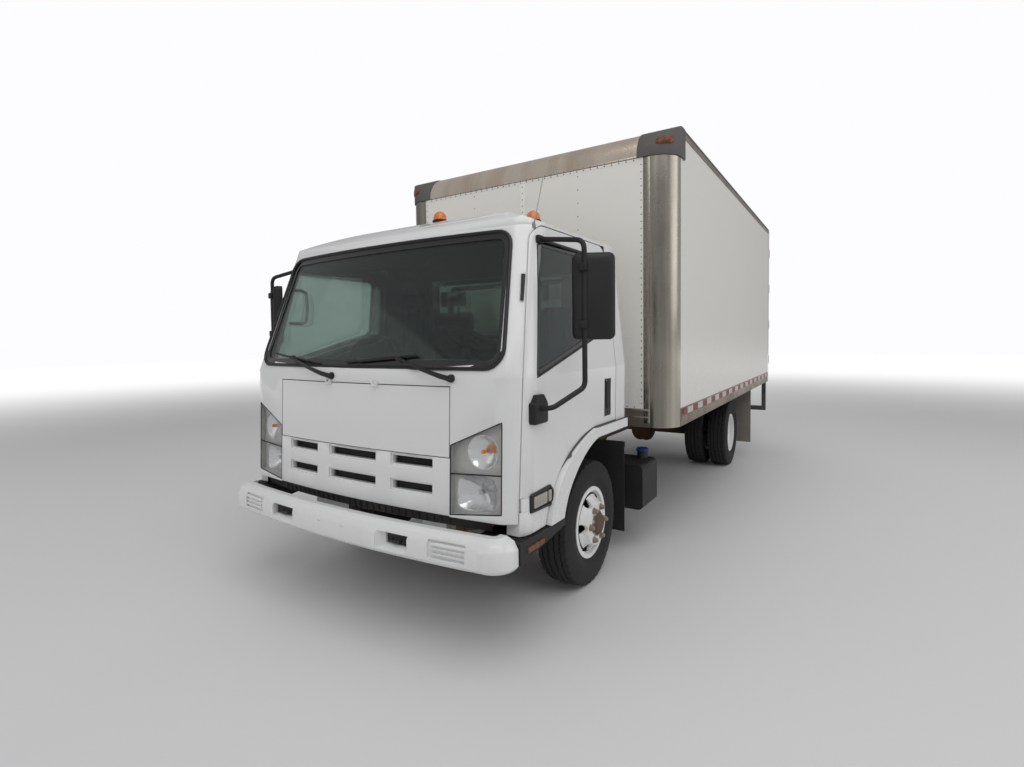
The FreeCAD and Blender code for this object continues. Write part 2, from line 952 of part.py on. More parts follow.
def build_cab_floor():
    """Foot wells, tunnel, seat platform, bulkhead and cowl as one pressing."""
    wells_front = axle - s.bulkhead_place
    wells_rear = axle - s.platform_front
    plate_up = s.footwell_level + s.floor_plate
    well_side = (s.tunnel_half, s.dash_half)
    well = block("well", well_side, (wells_front, wells_rear), (s.footwell_level, plate_up))
    wall_in = s.tunnel_half - s.floor_plate
    well_wall = block("well_wall", (wall_in, s.tunnel_half), (wells_front, wells_rear),
                      (s.footwell_level, s.tunnel_level + s.floor_plate))
    riser = block("riser", (wall_in, s.dash_half), (wells_rear, wells_rear + s.floor_plate),
                  (s.footwell_level, s.platform_level))
    parts = [well, well_wall, riser]
    parts += [mirrored(part.Name + "_right", part) for part in parts]
    parts.append(block("tunnel", (-s.tunnel_half, s.tunnel_half), (wells_front, wells_rear),
                       (s.tunnel_level, s.tunnel_level + s.floor_plate)))
    parts.append(block("tunnel_riser", (-s.tunnel_half, s.tunnel_half),
                       (wells_rear, wells_rear + s.floor_plate), (s.tunnel_level, s.platform_level)))
    parts.append(block("platform", (-s.arch_in, s.arch_in), (wells_rear, axle + 600),
                       (platform_underside, s.platform_level)))
    back = axle - s.bulkhead_place + s.bulkhead_plate
    across = (-s.dash_half, s.dash_half)
    parts.append(block("bulkhead_top", across, (wells_front, back), (s.tunnel_level, s.cowl_level)))
    low_wall = block("bulkhead_low", (wall_in, s.dash_half), (wells_front, back),
                     (s.footwell_level, s.tunnel_level))
    parts += [low_wall, mirrored("bulkhead_low_right", low_wall)]
    parts.append(block("cowl", across, (axle - 1200, back), (s.cowl_level - s.cowl_plate, s.cowl_level)))
    ear = rounded_ear()
    engine_bay = block("engine_bay", (-s.engine_bay_half, s.engine_bay_half),
                       (wells_rear + s.floor_plate, axle + 600),
                       (platform_underside - 20, s.engine_bay_level))
    pressing = cut("cab_floor_pressing", fuse("cab_floor_blocks", parts), [engine_bay])
    inside = common("cab_floor_inside", pressing, form_inside)
    node("cab_floor", fuse("cab_floor_joined", [inside, ear, mirrored("ear_right", ear)]))


def rounded_ear():
    """One tilt ear under the foot well, bored for the pivot pin."""
    y, z = axle - s.pivot_place, s.pivot_level
    radius = s.pivot_pin * 2.4
    side = (s.pivot_in, s.pivot_in + s.pivot_plate)
    cheek = block("ear_cheek", side, (y - radius, y + radius * 2), (z, s.footwell_level))
    eye = rod("ear_eye", "X", (s.pivot_in, y, z), radius, s.pivot_plate)
    arm = block("ear_arm", side, (y, y + 120), (z - radius, s.footwell_level))
    bore = rod("ear_bore", "X", (s.pivot_in - 10, y, z), s.pivot_pin + s.kingpin_clear, s.pivot_plate + 20)
    return cut("ear", fuse("ear_solid", [cheek, eye, arm]), [bore])


def build_front_lid(knuckles):
    skin = cut("lid_skin", form_outside, [cab_form(s.lid_plate)])
    gap = s.panel_gap
    region = block("lid_region", (-s.lid_half, s.lid_half),
                   (axle - s.sill_front - 100, axle - s.belt_front + 200), (s.lid_base + gap, s.lid_top))
    panel = common("front_lid_part", skin, region)
    node("front_lid", fuse("front_lid_joined", [panel] + knuckles))


def build_grille():
    """White frame with two rows of three slots, stepped back round each slot."""
    region = front_block("grille_region", s.lamp_in - s.running_gap, s.grille_base, s.lid_base)
    face = common("grille_face", cab_shell, region)
    slots = grille_slots("slot", 0)
    lips = cut("slot_lips", fuse("slot_lip_blocks", grille_slots("lip", s.slot_lip)), [form_recess])
    node("grille", cut("grille_cut", face, slots + [lips]))


def grille_slots(name, wider):
    """Cutters for the two rows of slots, each wider than its slot on every side by wider."""
    slots = []
    reach = (axle - s.sill_front - 100, axle - s.belt_front + 200)
    for row, level in enumerate([s.slot_upper, s.slot_lower]):
        height = (level - wider, level + s.slot_height + wider)
        slots.append(front_block(f"{name}_middle_{row}", s.slot_middle_half + wider, height[0], height[1]))
        across = (s.slot_outer_in - wider, s.slot_outer_out + wider)
        outer = block(f"{name}_outer_{row}", across, reach, height)
        slots += [outer, mirrored(f"{name}_outer_{row}_right", outer)]
    return slots


def build_headlamps():
    lamp = common("lamp_part", cab_shell, lamp_cutter)
    node("headlamps", pair("headlamp_pair", lamp))


def build_arches():
    flare = plate("flare", "X", arch_outline(), s.arch_in, s.arch_out)
    liner = plate("liner", "X", liner_outline(), s.liner_in, s.arch_in + 20)
    node("arch_flares", pair("flare_pair", flare))
    node("arch_liners", pair("liner_pair", liner))


def build_steps():
    side = [
        (axle - s.step_front, s.step_base),
        (axle - s.step_rear, s.step_top - 40),
        (axle - s.step_rear, s.step_top),
        (axle - s.step_front, s.step_top),
    ]
    tread = plate("step_tread", "X", side, s.step_in, s.step_out)
    hanger = block("step_hanger", (s.step_in, s.step_in + 60), (axle - 900, axle - 700),
                   (s.step_top, s.footwell_level))
    node("steps", pair("step_pair", fuse("step", [tread, hanger])))


def build_dash():
    """The dashboard, whose solid also trims the steering column."""
    side = [
        (axle - s.bulkhead_place + s.bulkhead_plate, s.dash_base),
        (axle - s.dash_rear - 60, s.dash_base),
        (axle - s.dash_rear, s.dash_base + 130),
        (axle - s.dash_rear - 20, s.dash_top - 20),
        (axle - s.dash_rear - 60, s.dash_top, 8),
        (axle - s.bulkhead_place + s.bulkhead_plate, s.dash_top + 18),
    ]
    body = plate("dash", "X", side, -s.dash_half, s.dash_half)
    hood = rounded("binnacle", (s.wheel_side - s.binnacle_half, s.wheel_side + s.binnacle_half),
                   (axle - s.dash_rear - 190, axle - s.dash_rear - 30),
                   (s.dash_top - s.binnacle_height, s.dash_top + s.binnacle_height), s.binnacle_height / 3)
    return node("dashboard", fuse("dash_joined", [body, hood]))


def build_steering_wheel(dash):
    """Rim, hub, spokes and column, tilted towards the driver."""
    tilt = math.radians(s.wheel_tilt.number)
    centre = vector(s.wheel_side, axle - s.wheel_place, s.wheel_level)
    turn = FreeCAD.Rotation(FreeCAD.Vector(1, 0, 0), -s.wheel_tilt.number)
    rim = doc.addObject("Part::Torus", "rim")
    bind(rim, "Radius1", s.wheel_rim_radius)
    bind(rim, "Radius2", s.wheel_rim_tube)
    hub = doc.addObject("Part::Cylinder", "wheel_boss")
    bind(hub, "Radius", s.wheel_rim_radius / 3.4)
    bind(hub, "Height", s.wheel_rim_tube * 3)
    for thing in (rim, hub):
        thing.Placement = FreeCAD.Placement(FreeCAD.Vector(), turn)
        place(thing, s.wheel_side, axle - s.wheel_place, s.wheel_level)
    spokes = []
    for angle in (0, 180, 250, 290):
        spoke = doc.addObject("Part::Cylinder", f"spoke_{angle}")
        bind(spoke, "Radius", s.wheel_rim_tube * 0.8)
        bind(spoke, "Height", s.wheel_rim_radius)
        lay = FreeCAD.Rotation(FreeCAD.Vector(0, 0, 1), angle).multiply(TURN_TO["X"])
        spoke.Placement = FreeCAD.Placement(FreeCAD.Vector(), turn.multiply(lay))
        place(spoke, s.wheel_side, axle - s.wheel_place, s.wheel_level)
        spokes.append(spoke)
    downward = FreeCAD.Vector(0, -math.sin(tilt), -math.cos(tilt))
    column = doc.addObject("Part::Feature", "column")
    column.Shape = Part.makeCylinder(32, 260, centre, downward)
    joined = fuse("steering_wheel_joined", [rim, hub, column] + spokes)
    node("steering_wheel", cut("steering_wheel_part", joined, [dash]))


def build_seats():
    """A driver's seat and a bench for two, as rounded cushions, backs and headrests."""
    front, back = axle - s.seat_front, axle + s.seat_back_front
    wide = (s.bench_out - s.bench_in) / 2
    places = [(s.driver_seat_in, s.seat_width), (-s.bench_out, wide), (-s.bench_out + wide, wide)]
    soft, half = s.seat_soft, s.headrest_width / 2
    head_base = s.seat_back_top - s.headrest_rise
    parts = []
    for index, (start, width) in enumerate(places):
        across = (start, start + width)
        middle = start + width / 2
        parts.append(rounded(f"cushion_{index}", across, (front, back + soft),
                             (s.platform_level - 1, s.seat_cushion_top), soft))
        parts.append(rounded(f"back_{index}", across, (back, back + s.seat_back_depth),
                             (s.platform_level + soft, s.seat_back_top), soft))
        parts.append(rounded(f"headrest_{index}", (middle - half, middle + half),
                             (back + 15, back + 15 + s.headrest_depth),
                             (head_base, head_base + s.headrest_height), soft * 0.7))
    driver_out = s.driver_seat_in + s.seat_width
    spans = [(s.driver_seat_in + 20, driver_out - 20), (-s.bench_out + 20, -s.bench_in - 20)]
    for index, across in enumerate(spans):
        parts.append(block(f"plinth_{index}", across, (front + soft, back + s.seat_back_depth - 10),
                           (s.platform_level, s.platform_level + soft * 2)))
    floor = block("seat_floor", (-1200, 1200), (axle - 900, axle + 600),
                  (s.platform_level - 100, s.platform_level))
    node("seats", cut("seats_part", fuse("seats_joined", parts), [floor]))


def build_doors():
    """Outer skin, inner trim and window frame of each door are one 45 mm shell.

    The handle sits in a recess, and the side lamp has one of its own."""
    outline = plate("door_edge", "X", door_outline(), 700, 1250)
    shell = common("door_shell", cab_shell, outline)
    side = (s.arch_in, s.arch_out)
    grip_top = s.handle_base + s.handle_height
    cup = block("handle_cup", side, (axle - s.handle_front, axle + s.handle_rear), (s.handle_base, grip_top))
    lamp = block("side_lamp_cup", side, (axle - s.side_lamp_front, axle - s.side_lamp_rear),
                 (s.side_lamp_base, s.side_lamp_base + s.side_lamp_height))
    recesses = cut("door_recesses", fuse("door_cups", [cup, lamp]), [form_recess])
    middle = axle + (s.handle_rear - s.handle_front) / 2
    bar = block("handle_bar", side, (middle - s.handle_bar / 2, middle + s.handle_bar / 2),
                (s.handle_base + s.handle_bar, grip_top - s.panel_recess))
    grip = common("handle_grip", cab_shell, bar)
    door = fuse("door_left_part", [cut("door_opened", shell, [door_window, recesses]), grip])
    node("door_left", door)
    node("door_right", mirrored("door_right_part", door))
    glass = common("door_glass_left_part", glass_shell, door_window)
    node("door_glass_left", glass)
    node("door_glass_right", mirrored("door_glass_right_part", glass))


def build_mirrors():
    """Arm, pole and head, clamped to the door at its foot and at its top corner."""
    pole_x, pole_y = s.mirror_pole_side, axle - s.mirror_pole_place
    points = [
        vector(1030, axle - 880, 1190),
        vector(1110, axle - 865, 1195),
        vector(pole_x, pole_y, s.mirror_pole_base - 30),
        vector(pole_x, pole_y, s.mirror_pole_top),
        vector(955, axle - 690, s.mirror_pole_top + 35),
    ]
    frame = tube("mirror_frame", points, s.mirror_pole_radius.number, 45)
    start = axle - s.mirror_foot_front
    foot = rounded("mirror_foot", (s.sill_half - 20, s.belt_half + 30),
                   (start, start + s.mirror_foot_length),
                   (s.mirror_foot_base, s.mirror_foot_base + s.mirror_foot_height), s.mirror_soft / 2)
    head = rounded("mirror_head", (0, s.mirror_head_width), (0, s.mirror_head_depth),
                   (0, s.mirror_head_height), s.mirror_soft)
    turn = FreeCAD.Rotation(FreeCAD.Vector(0, 0, 1), s.mirror_head_turn.number)
    head.Placement = FreeCAD.Placement(FreeCAD.Vector(), turn)
    place(head, pole_x - 46, pole_y - 30, s.mirror_head_base)
    joined = cut("mirror_left_part", fuse("mirror_left_solid", [frame, foot, head]), [form_outside])
    node("mirror_left", joined)
    node("mirror_right", mirrored("mirror_right_part", joined))


# Frame and drive

def build_frame():
    outer, web, flange = s.frame_half, s.rail_web, s.rail_flange
    inner = outer - flange
    section = [
        (inner, rail_base),
        (outer, rail_base),
        (outer, s.rail_top),
        (inner, s.rail_top),
        (inner, s.rail_top - web),
        (outer - web, s.rail_top - web),
        (outer - web, rail_base + web),
        (inner, rail_base + web),
    ]
    rail = plate("rail", "Y", section, axle - s.rail_front, body_rear - s.rail_end_gap)
    node("frame_rails", pair("rail_pair", rail))


def build_crossmembers():
    """Cross tubes between the rail webs, the cab's pivot brackets and its rear rests."""
    reach = s.frame_half - s.rail_web
    low = rail_base + (s.rail_height - s.member_height) / 2
    members = []
    places = [axle - 880, axle + 640, axle + 1700, rear_axle - 700, rear_axle + 700, body_rear - 300]
    for index, middle in enumerate(places):
        span = (middle - s.member_thick / 2, middle + s.member_thick / 2)
        members.append(block(f"member_{index}", (-reach, reach), span, (low, low + s.member_height)))
    y, z = axle - s.pivot_place, s.pivot_level
    cheek = block("pivot_cheek", (s.frame_half, s.frame_half + 20), (y - 25, y + 220),
                  (z - 25, s.rail_top - 10))
    pin_length = s.pivot_in + s.pivot_plate + 12 - s.frame_half
    pin = rod("pivot_bar", "X", (s.frame_half, y, z), s.pivot_pin, pin_length)
    pivot = fuse("pivot", [cheek, pin])
    rest = block("cab_rest", (s.frame_half - s.rail_flange, s.frame_half), (axle + 260, axle + 330),
                 (s.rail_top, platform_underside - s.running_gap))
    for thing in (pivot, rest):
        members += [thing, mirrored(thing.Name + "_right", thing)]
    node("crossmembers", group("member_group", members))


nose_start = rear_axle - s.diff_radius * 0.8 - 90


def build_engine():
    """Engine and gearbox as plain blocks, with the shaft to the rear axle."""
    block_part = block("engine_part", (-s.engine_half, s.engine_half),
                       (axle - s.engine_front, axle + s.engine_rear), (s.engine_base, s.engine_top))
    reach = s.frame_half - s.rail_web
    mounts = block("engine_mounts", (-reach, reach), (axle, axle + 90), (rail_base + 40, rail_base + 110))
    start = axle + s.engine_rear
    case = block("gearbox", (-s.gearbox_half, s.gearbox_half), (start, start + s.gearbox_length),
                 (s.gearbox_base, s.gearbox_top))
    shaft_start = start + s.gearbox_length
    shaft = rod("shaft", "Y", (0, shaft_start, s.shaft_level), s.shaft_radius,
                nose_start - s.running_gap - shaft_start)
    node("engine_and_drive", fuse("engine_joined", [block_part, mounts, case, shaft]))


def leaf_outline(centre, seat):
    """A bowed stack of leaves: thick over the axle, thin at its eyes."""
    half, stack, camber = s.leaf_half_length, s.leaf_stack, s.leaf_camber
    tip = stack / 3
    return [
        (centre - half, seat + camber),
        (centre, seat, camber / 4),
        (centre + half, seat + camber, camber / 4),
        (centre + half, seat + camber + tip),
        (centre, seat + stack, -camber / 4),
        (centre - half, seat + camber + tip, -camber / 4),
    ]


def build_springs(axle_beam, axle_tube):
    """Leaf stacks with their frame hangers and axle clamps; the rear clamps fit round the axle."""
    springs = []
    side = (s.frame_half - s.leaf_width, s.frame_half)
    for name, centre, seat, carrier in (
        ("front", axle, s.tyre_radius + s.beam_height / 2 - s.beam_drop, axle_beam),
        ("rear", rear_axle, s.tyre_radius + s.rear_tube_radius, axle_tube),
    ):
        leaves = plate(f"{name}_leaves", "X", leaf_outline(centre, seat), side[0], side[1])
        parts = [leaves]
        for index, end in enumerate((centre - s.leaf_half_length, centre + s.leaf_half_length)):
            parts.append(block(f"{name}_hanger_{index}", side, (end - 35, end + 35),
                               (seat + s.leaf_camber, rail_base)))
        parts.append(block(f"{name}_clamp", side, (centre - 50, centre + 50),
                           (seat - 40, seat + s.leaf_stack + 20)))
        spring = cut(f"{name}_spring", fuse(f"{name}_spring_solid", parts), [carrier])
        springs += [spring, mirrored(f"{name}_spring_right", spring)]
    node("leaf_springs", group("spring_group", springs))


# Axles and steering

def build_front_axle():
    """A dropped beam whose end eyes carry the kingpins."""
    mid, half = s.tyre_radius, s.beam_height / 2
    low = mid - s.beam_drop
    eye = s.kingpin_side
    arm = eye - s.fork_radius - s.fork_gap * 2
    flat = s.frame_half + s.leaf_width
    half_shape = [
        (flat, low - half),
        (arm, mid - half),
        (eye, mid - half),
        (eye, mid + half),
        (arm, mid + half),
        (flat, low + half),
    ]
    shape = half_shape + [(-x, z) for x, z in half_shape[::-1]]
    beam = plate("beam", "Y", shape, axle - s.beam_thick / 2, axle + s.beam_thick / 2)
    parts = [beam]
    for name, side in (("left", eye), ("right", -eye)):
        parts.append(rod(f"eye_{name}", "Z", (side, axle, mid - half), s.fork_radius, s.beam_height))
        pin_low = mid - half - s.fork_gap - s.fork_plate
        parts.append(rod(f"kingpin_{name}", "Z", (side, axle, pin_low), s.kingpin_radius,
                         s.beam_height + (s.fork_gap + s.fork_plate) * 2))
    return node("front_axle_beam", fuse("front_axle_joined", parts))


def knuckle_levels():
    low = s.tyre_radius - s.beam_height / 2 - s.fork_gap - s.fork_plate
    return low, low + s.beam_height + (s.fork_gap + s.fork_plate) * 2


def build_knuckles():
    """Fork round the beam's eye, upright, spindle and steering arm."""
    low, high = knuckle_levels()
    upright_in = s.kingpin_side + s.fork_radius + s.fork_gap
    upright_out = upright_in + s.fork_plate
    half = s.fork_radius
    parts = [block("upright", (upright_in, upright_out), (axle - half, axle + half), (low, high))]
    bores = []
    for name, level in (("low", low), ("high", high - s.fork_plate)):
        parts.append(block(f"fork_{name}", (s.kingpin_side, upright_out), (axle - half, axle + half),
                           (level, level + s.fork_plate)))
        parts.append(rod(f"fork_eye_{name}", "Z", (s.kingpin_side, axle, level), half, s.fork_plate))
        bores.append(rod(f"fork_bore_{name}", "Z", (s.kingpin_side, axle, level - 5),
                         s.kingpin_radius + s.kingpin_clear, s.fork_plate + 10))
    parts.append(rod("spindle", "X", (upright_in, axle, s.tyre_radius), s.spindle_radius,
                     front_hub_end - s.disc_thick * 2 - upright_in))
    arm_half = s.ball_radius
    reach = s.steer_arm_length
    parts.append(block("steer_arm", (s.kingpin_side - arm_half, s.kingpin_side + arm_half),
                       (axle + half / 2, axle + reach), (low, low + s.fork_plate)))
    parts.append(rod("steer_eye", "Z", (s.kingpin_side, axle + reach, low), arm_half, s.fork_plate))
    parts.append(rod("ball_stud", "Z", (s.kingpin_side, axle + reach, low - s.ball_radius * 2.5),
                     s.ball_radius / 2, s.ball_radius * 3))
    knuckle = cut("knuckle_left_part", fuse("knuckle_solid", parts), bores)
    node("knuckle_left", knuckle)
    node("knuckle_right", mirrored("knuckle_right_part", knuckle))


def build_tie_rod():
    """The cross rod below both steering arms, with an eye on each ball stud."""
    low = knuckle_levels()[0]
    level = low - s.ball_radius * 1.5
    y = axle + s.steer_arm_length
    parts = [rod("tie_bar", "X", (-s.kingpin_side, y, level), s.tie_rod_radius, s.kingpin_side * 2)]
    bores = []
    height = s.ball_radius * 1.6
    for name, side in (("left", s.kingpin_side), ("right", -s.kingpin_side)):
        parts.append(rod(f"tie_eye_{name}", "Z", (side, y, level - height / 2), s.ball_radius * 1.2, height))
        bores.append(rod(f"tie_bore_{name}", "Z", (side, y, level - height),
                         s.ball_radius / 2 + s.kingpin_clear, height * 2))
    node("tie_rod", cut("tie_rod_part", fuse("tie_rod_solid", parts), bores))


def build_rear_axle():
    """Axle tube with its differential, and a spindle inside each rear hub."""
    end = s.rear_half_track - s.disc_thick - s.hub_length
    tube_start = (-end + 5, rear_axle, s.tyre_radius)
    tube_part = rod("axle_tube", "X", tube_start, s.rear_tube_radius, (end - 5) * 2)
    spindle_start = (-s.rear_half_track, rear_axle, s.tyre_radius)
    spindles = rod("rear_spindles", "X", spindle_start, s.spindle_radius, s.rear_half_track * 2)
    drum = turned("differential", [
        (-150, 0),
        (150, 0),
        (120, s.diff_radius * 0.7),
        (0, s.diff_radius, 30),
        (-120, s.diff_radius * 0.7, 30),
    ], (0, rear_axle, s.tyre_radius))
    nose = rod("pinion_nose", "Y", (0, nose_start, s.shaft_level), 60, 150)
    return node("rear_axle", fuse("rear_axle_joined", [tube_part, spindles, drum, nose]))


def tyre_outline():
    """Half a tyre's section: beads, sidewalls and a slightly crowned tread."""
    bead = s.rim_width / 2 - s.rim_thick - 1
    half = s.tyre_width / 2
    inner = s.rim_radius + s.running_gap
    outer = s.tyre_radius
    shoulder = half - 14
    return [
        (-bead, inner),
        (bead, inner),
        (bead, inner + 20),
        (half, (inner + outer) / 2, 9),
        (shoulder, outer - 16, 5),
        (shoulder - 12, outer - 5, 3),
        (12 - shoulder, outer - 5, 5),
        (-shoulder, outer - 16, 3),
        (-half, (inner + outer) / 2, 5),
        (-bead, inner + 20, 9),
    ]


def rim_outline():
    half, radius, thick = s.rim_width / 2, s.rim_radius, s.rim_thick
    lip = radius + s.rim_lip
    well = radius - s.rim_well
    return [
        (-half, radius - thick),
        (-half, lip),
        (thick - half, lip),
        (thick - half, radius),
        (-45, radius),
        (-28, well),
        (28, well),
        (45, radius),
        (half - thick, radius),
        (half - thick, lip),
        (half, lip),
        (half, radius - thick),
        (50, radius - thick),
        (33, well - thick),
        (-33, well - thick),
        (-50, radius - thick),
    ]


def disc_outline(way):
    """The wheel disc, from the well of the rim out to the nut face; way is +1 or -1."""
    face, thick = s.twin_spacing / 2, s.disc_thick
    rim_side = s.rim_radius - s.rim_thick
    outline = [
        (way * 60, rim_side + 3),
        (way * (face - 22), s.hand_hole_circle - 12),
        (way * face, s.nut_face_radius),
        (way * face, s.disc_bore),
        (way * (face - thick), s.disc_bore),
        (way * (face - thick), s.nut_face_radius - 5),
        (way * (face - 22 - thick), s.hand_hole_circle - 20),
        (way * (60 - thick), rim_side + 3),
    ]
    return outline if way > 0 else outline[::-1]


def build_one_rim(name, side, along, way):
    """Rim and disc of one wheel, with its ring of hand holes."""
    centre = (side, along, s.tyre_radius)
    barrel = turned(f"{name}_barrel", rim_outline(), centre)
    disc = turned(f"{name}_disc", disc_outline(way), centre)
    holes = []
    count = int(s.hand_hole_count.number)
    for index in range(count):
        angle = math.tau * (index + 0.5) / count
        y = along + s.hand_hole_circle * math.sin(angle)
        z = s.tyre_radius + s.hand_hole_circle * math.cos(angle)
        start = side + 30 if way > 0 else side - 170
        holes.append(rod(f"{name}_hole_{index}", "X", (start, y, z), s.hand_hole_radius, 140))
    return cut(f"{name}_rim", fuse(f"{name}_solid", [barrel, disc]), holes)


def hub_outline(inner, face, nose):
    """A hub with its drum and flange, open towards the axle; lengths along the axle."""
    bore = s.spindle_radius + s.hub_bore_clear
    flange = face - s.disc_thick
    return [
        (inner, bore),
        (nose - 14, bore),
        (nose - 14, 0),
        (nose, 0),
        (nose, s.disc_bore * 0.72),
        (nose - 6, s.disc_bore * 0.8),
        (face + 4, s.disc_bore - 1),
        (flange, s.disc_bore - 1),
        (flange, s.hub_flange_radius),
        (flange - s.disc_thick, s.hub_flange_radius),
        (flange - s.disc_thick, s.hub_radius),
        (inner + s.drum_width, s.hub_radius),
        (inner + s.drum_width, s.drum_radius),
        (inner + 12, s.drum_radius),
        (inner + 12, s.hub_radius),
        (inner, s.hub_radius),
    ]


front_hub_end = s.front_half_track + s.twin_spacing / 2 + 24


def build_wheels():
    """Front wheels are single, rear wheels are twins on one hub."""
    mid = s.front_half_track
    centre = (0, axle, s.tyre_radius)
    tyre = turned("front_tyre", tyre_outline(), (mid, axle, s.tyre_radius))
    rim = build_one_rim("front", mid, axle, 1)
    inner = s.kingpin_side + s.fork_radius + s.fork_gap * 2 + s.fork_plate
    hub = turned("front_hub", hub_outline(inner, mid + s.twin_spacing / 2, front_hub_end), centre)
    for name, thing in (("front_tyre", tyre), ("front_wheel", fuse("front_wheel_joined", [rim, hub]))):
        node(f"{name}_left", thing)
        node(f"{name}_right", mirrored(f"{name}_copy", thing))
    outer, inner_side = s.rear_half_track + s.twin_spacing / 2, s.rear_half_track - s.twin_spacing / 2
    tyres = []
    rims = []
    for name, side, way in (("rear_outer", outer, -1), ("rear_inner", inner_side, 1)):
        tyres.append(turned(f"{name}_tyre", tyre_outline(), (side, rear_axle, s.tyre_radius)))
        rims.append(build_one_rim(name, side, rear_axle, way))
    face = s.rear_half_track
    start = face - s.disc_thick - s.hub_length
    rear_hub = turned("rear_hub", hub_outline(start, face, face + 125), (0, rear_axle, s.tyre_radius))
    tyre_pair = group("rear_tyres", tyres)
    rim_pair = fuse("rear_rims", rims + [rear_hub])
    for name, thing in (("rear_tyres", tyre_pair), ("rear_wheels", rim_pair)):
        node(f"{name}_left", thing)
        node(f"{name}_right", mirrored(f"{name}_copy", thing))


# Things hung on the frame

def build_tanks():
    """Fuel tank and battery box on the right, the small treatment tank on the left."""
    low, high = rail_base + 30, s.rail_top - 60
    start = axle + s.tank_front
    end = start + s.tank_length
    outline = soft_outline((-s.tank_out, s.tank_base), (-s.tank_in, s.tank_top), s.tank_round)
    parts = [plate("fuel_body", "Y", outline, start, end)]
    proud = s.tank_strap
    band = soft_outline((-s.tank_out - proud, s.tank_base - proud), (-s.tank_in + proud, s.tank_top + proud),
                        s.tank_round + proud)
    for index, share in enumerate((0.2, 0.75)):
        y = start + s.tank_length * share
        parts.append(plate(f"fuel_strap_{index}", "Y", band, y, y + s.tank_strap_width))
        parts.append(block(f"fuel_bracket_{index}", (-s.tank_in - 20, -s.frame_half),
                           (y, y + 60), (low, high)))
    neck_z = s.tank_top - s.tank_round - s.filler_radius
    parts.append(rod("fuel_filler", "X", (-s.tank_out - 30, start + s.tank_length * 0.5, neck_z),
                     s.filler_radius, 60))
    node("fuel_tank", fuse("fuel_joined", parts))
    node("battery_box", battery_form(low, high))
    node("urea_tank", treatment_tank())


def battery_form(low, high):
    """A box with a lid that stands a little proud, on its bracket."""
    start = axle + s.battery_front
    end = start + s.battery_length
    lid = s.tank_round
    box = block("battery_body", (-s.tank_out, -s.tank_in), (start, end), (s.battery_base, s.tank_top - lid))
    cover = rounded("battery_lid", (-s.tank_out - 12, -s.tank_in), (start - 12, end + 12),
                    (s.tank_top - lid - 20, s.tank_top), s.tank_strap * 2)
    arm = block("battery_bracket", (-s.tank_in - 20, -s.frame_half), (start + 100, start + 300), (low, high))
    return fuse("battery_joined", [box, cover, arm])


def treatment_tank():
    start = axle + s.urea_front
    end = start + s.urea_length
    outline = soft_outline((s.tank_in, s.urea_base), (s.urea_out, s.urea_top), s.tank_round / 2)
    body = plate("urea_body", "Y", outline, start, end)
    arm = block("urea_bracket", (s.frame_half, s.tank_in + 20), (start + 60, start + 240),
                (s.urea_top - 120, s.rail_top - 30))
    cap = rod("urea_cap", "Z", (s.urea_out - 90, end - 60, s.urea_top - 5), s.urea_cap_radius, 50)
    return fuse("urea_joined", [body, arm, cap])


def build_exhaust():
    y = axle + s.muffler_front
    barrel = rod("muffler", "Y", (-s.muffler_side, y, s.muffler_level), s.muffler_radius, s.muffler_length)
    pipe = rod("exhaust_pipe", "Y", (-s.muffler_side, y - 90, s.muffler_level), s.muffler_radius / 3,
               s.muffler_length + 190)
    hanger_low = s.muffler_level + s.muffler_radius - 20
    parts = [barrel, pipe]
    for index, share in enumerate((0.2, 0.7)):
        at = y + s.muffler_length * share
        parts.append(block(f"muffler_hanger_{index}", (-s.muffler_side - 20, -s.frame_half), (at, at + 40),
                           (hanger_low, s.rail_top - 40)))
    node("exhaust", fuse("exhaust_joined", parts))


def build_flaps():
    """Hanging rubber flaps behind each wheel, on bars from the frame or the floor."""
    place_y = axle + s.front_flap_place
    level = s.flap_bar_level
    bar = block("front_bar", (s.frame_half, s.front_flap_out), (place_y, place_y + s.flap_bar),
                (level, level + s.flap_bar_height))
    sheet = block("front_sheet", (s.front_flap_in, s.front_flap_out), (place_y - s.flap_plate, place_y),
                  (s.front_flap_base, level + s.flap_bar_height))
    front = fuse("front_flap", [bar, sheet])
    place_y = rear_axle + s.tyre_radius + s.rear_flap_gap
    bar = block("rear_bar", (s.rear_flap_in, inside_half), (place_y, place_y + s.flap_bar * 2),
                (s.body_bottom - 10, deck_base))
    sheet = block("rear_sheet", (s.rear_flap_in, inside_half), (place_y - s.flap_plate, place_y),
                  (s.rear_flap_base, deck_base))
    rear = fuse("rear_flap", [bar, sheet])
    flaps = [front, rear, mirrored("front_flap_right", front), mirrored("rear_flap_right", rear)]
    node("mudflaps", group("flap_group", flaps))


def bumper_plan(inset, rear):
    half, bend = s.bumper_half - inset, s.bumper_round - inset
    face = axle - s.front_overhang + s.bumper_bow + inset
    rise = bend * (1 - math.sqrt(0.5))
    return [
        (half - bend, face, s.bumper_bow),
        (half, face + bend, rise),
        (half, rear),
        (-half, rear),
        (-half, face + bend),
        (bend - half, face, rise),
    ]


def bumper_form(name, inset):
    """The bumper's outer shape: an upright face between a lip below and a sloping shelf above."""
    sections = []
    rear = axle - s.bumper_side_rear
    steps = [
        (s.bumper_base, s.bumper_lip),
        (s.bumper_base + s.bumper_lip_rise, 0),
        (s.bumper_face_top, 0),
        (s.bumper_brow_level, s.bumper_brow),
        (s.bumper_top, s.bumper_shelf),
    ]
    for index, (level, back) in enumerate(steps):
        section = doc.addObject("Sketcher::SketchObject", f"{name}_plan_{index}")
        place(section, z=level)
        draw(section, bumper_plan(back + inset, rear))
        sections.append(section)
    loft = doc.addObject("Part::Loft", name)
    loft.Sections = sections
    loft.Solid = True
    loft.Ruled = True
    return loft


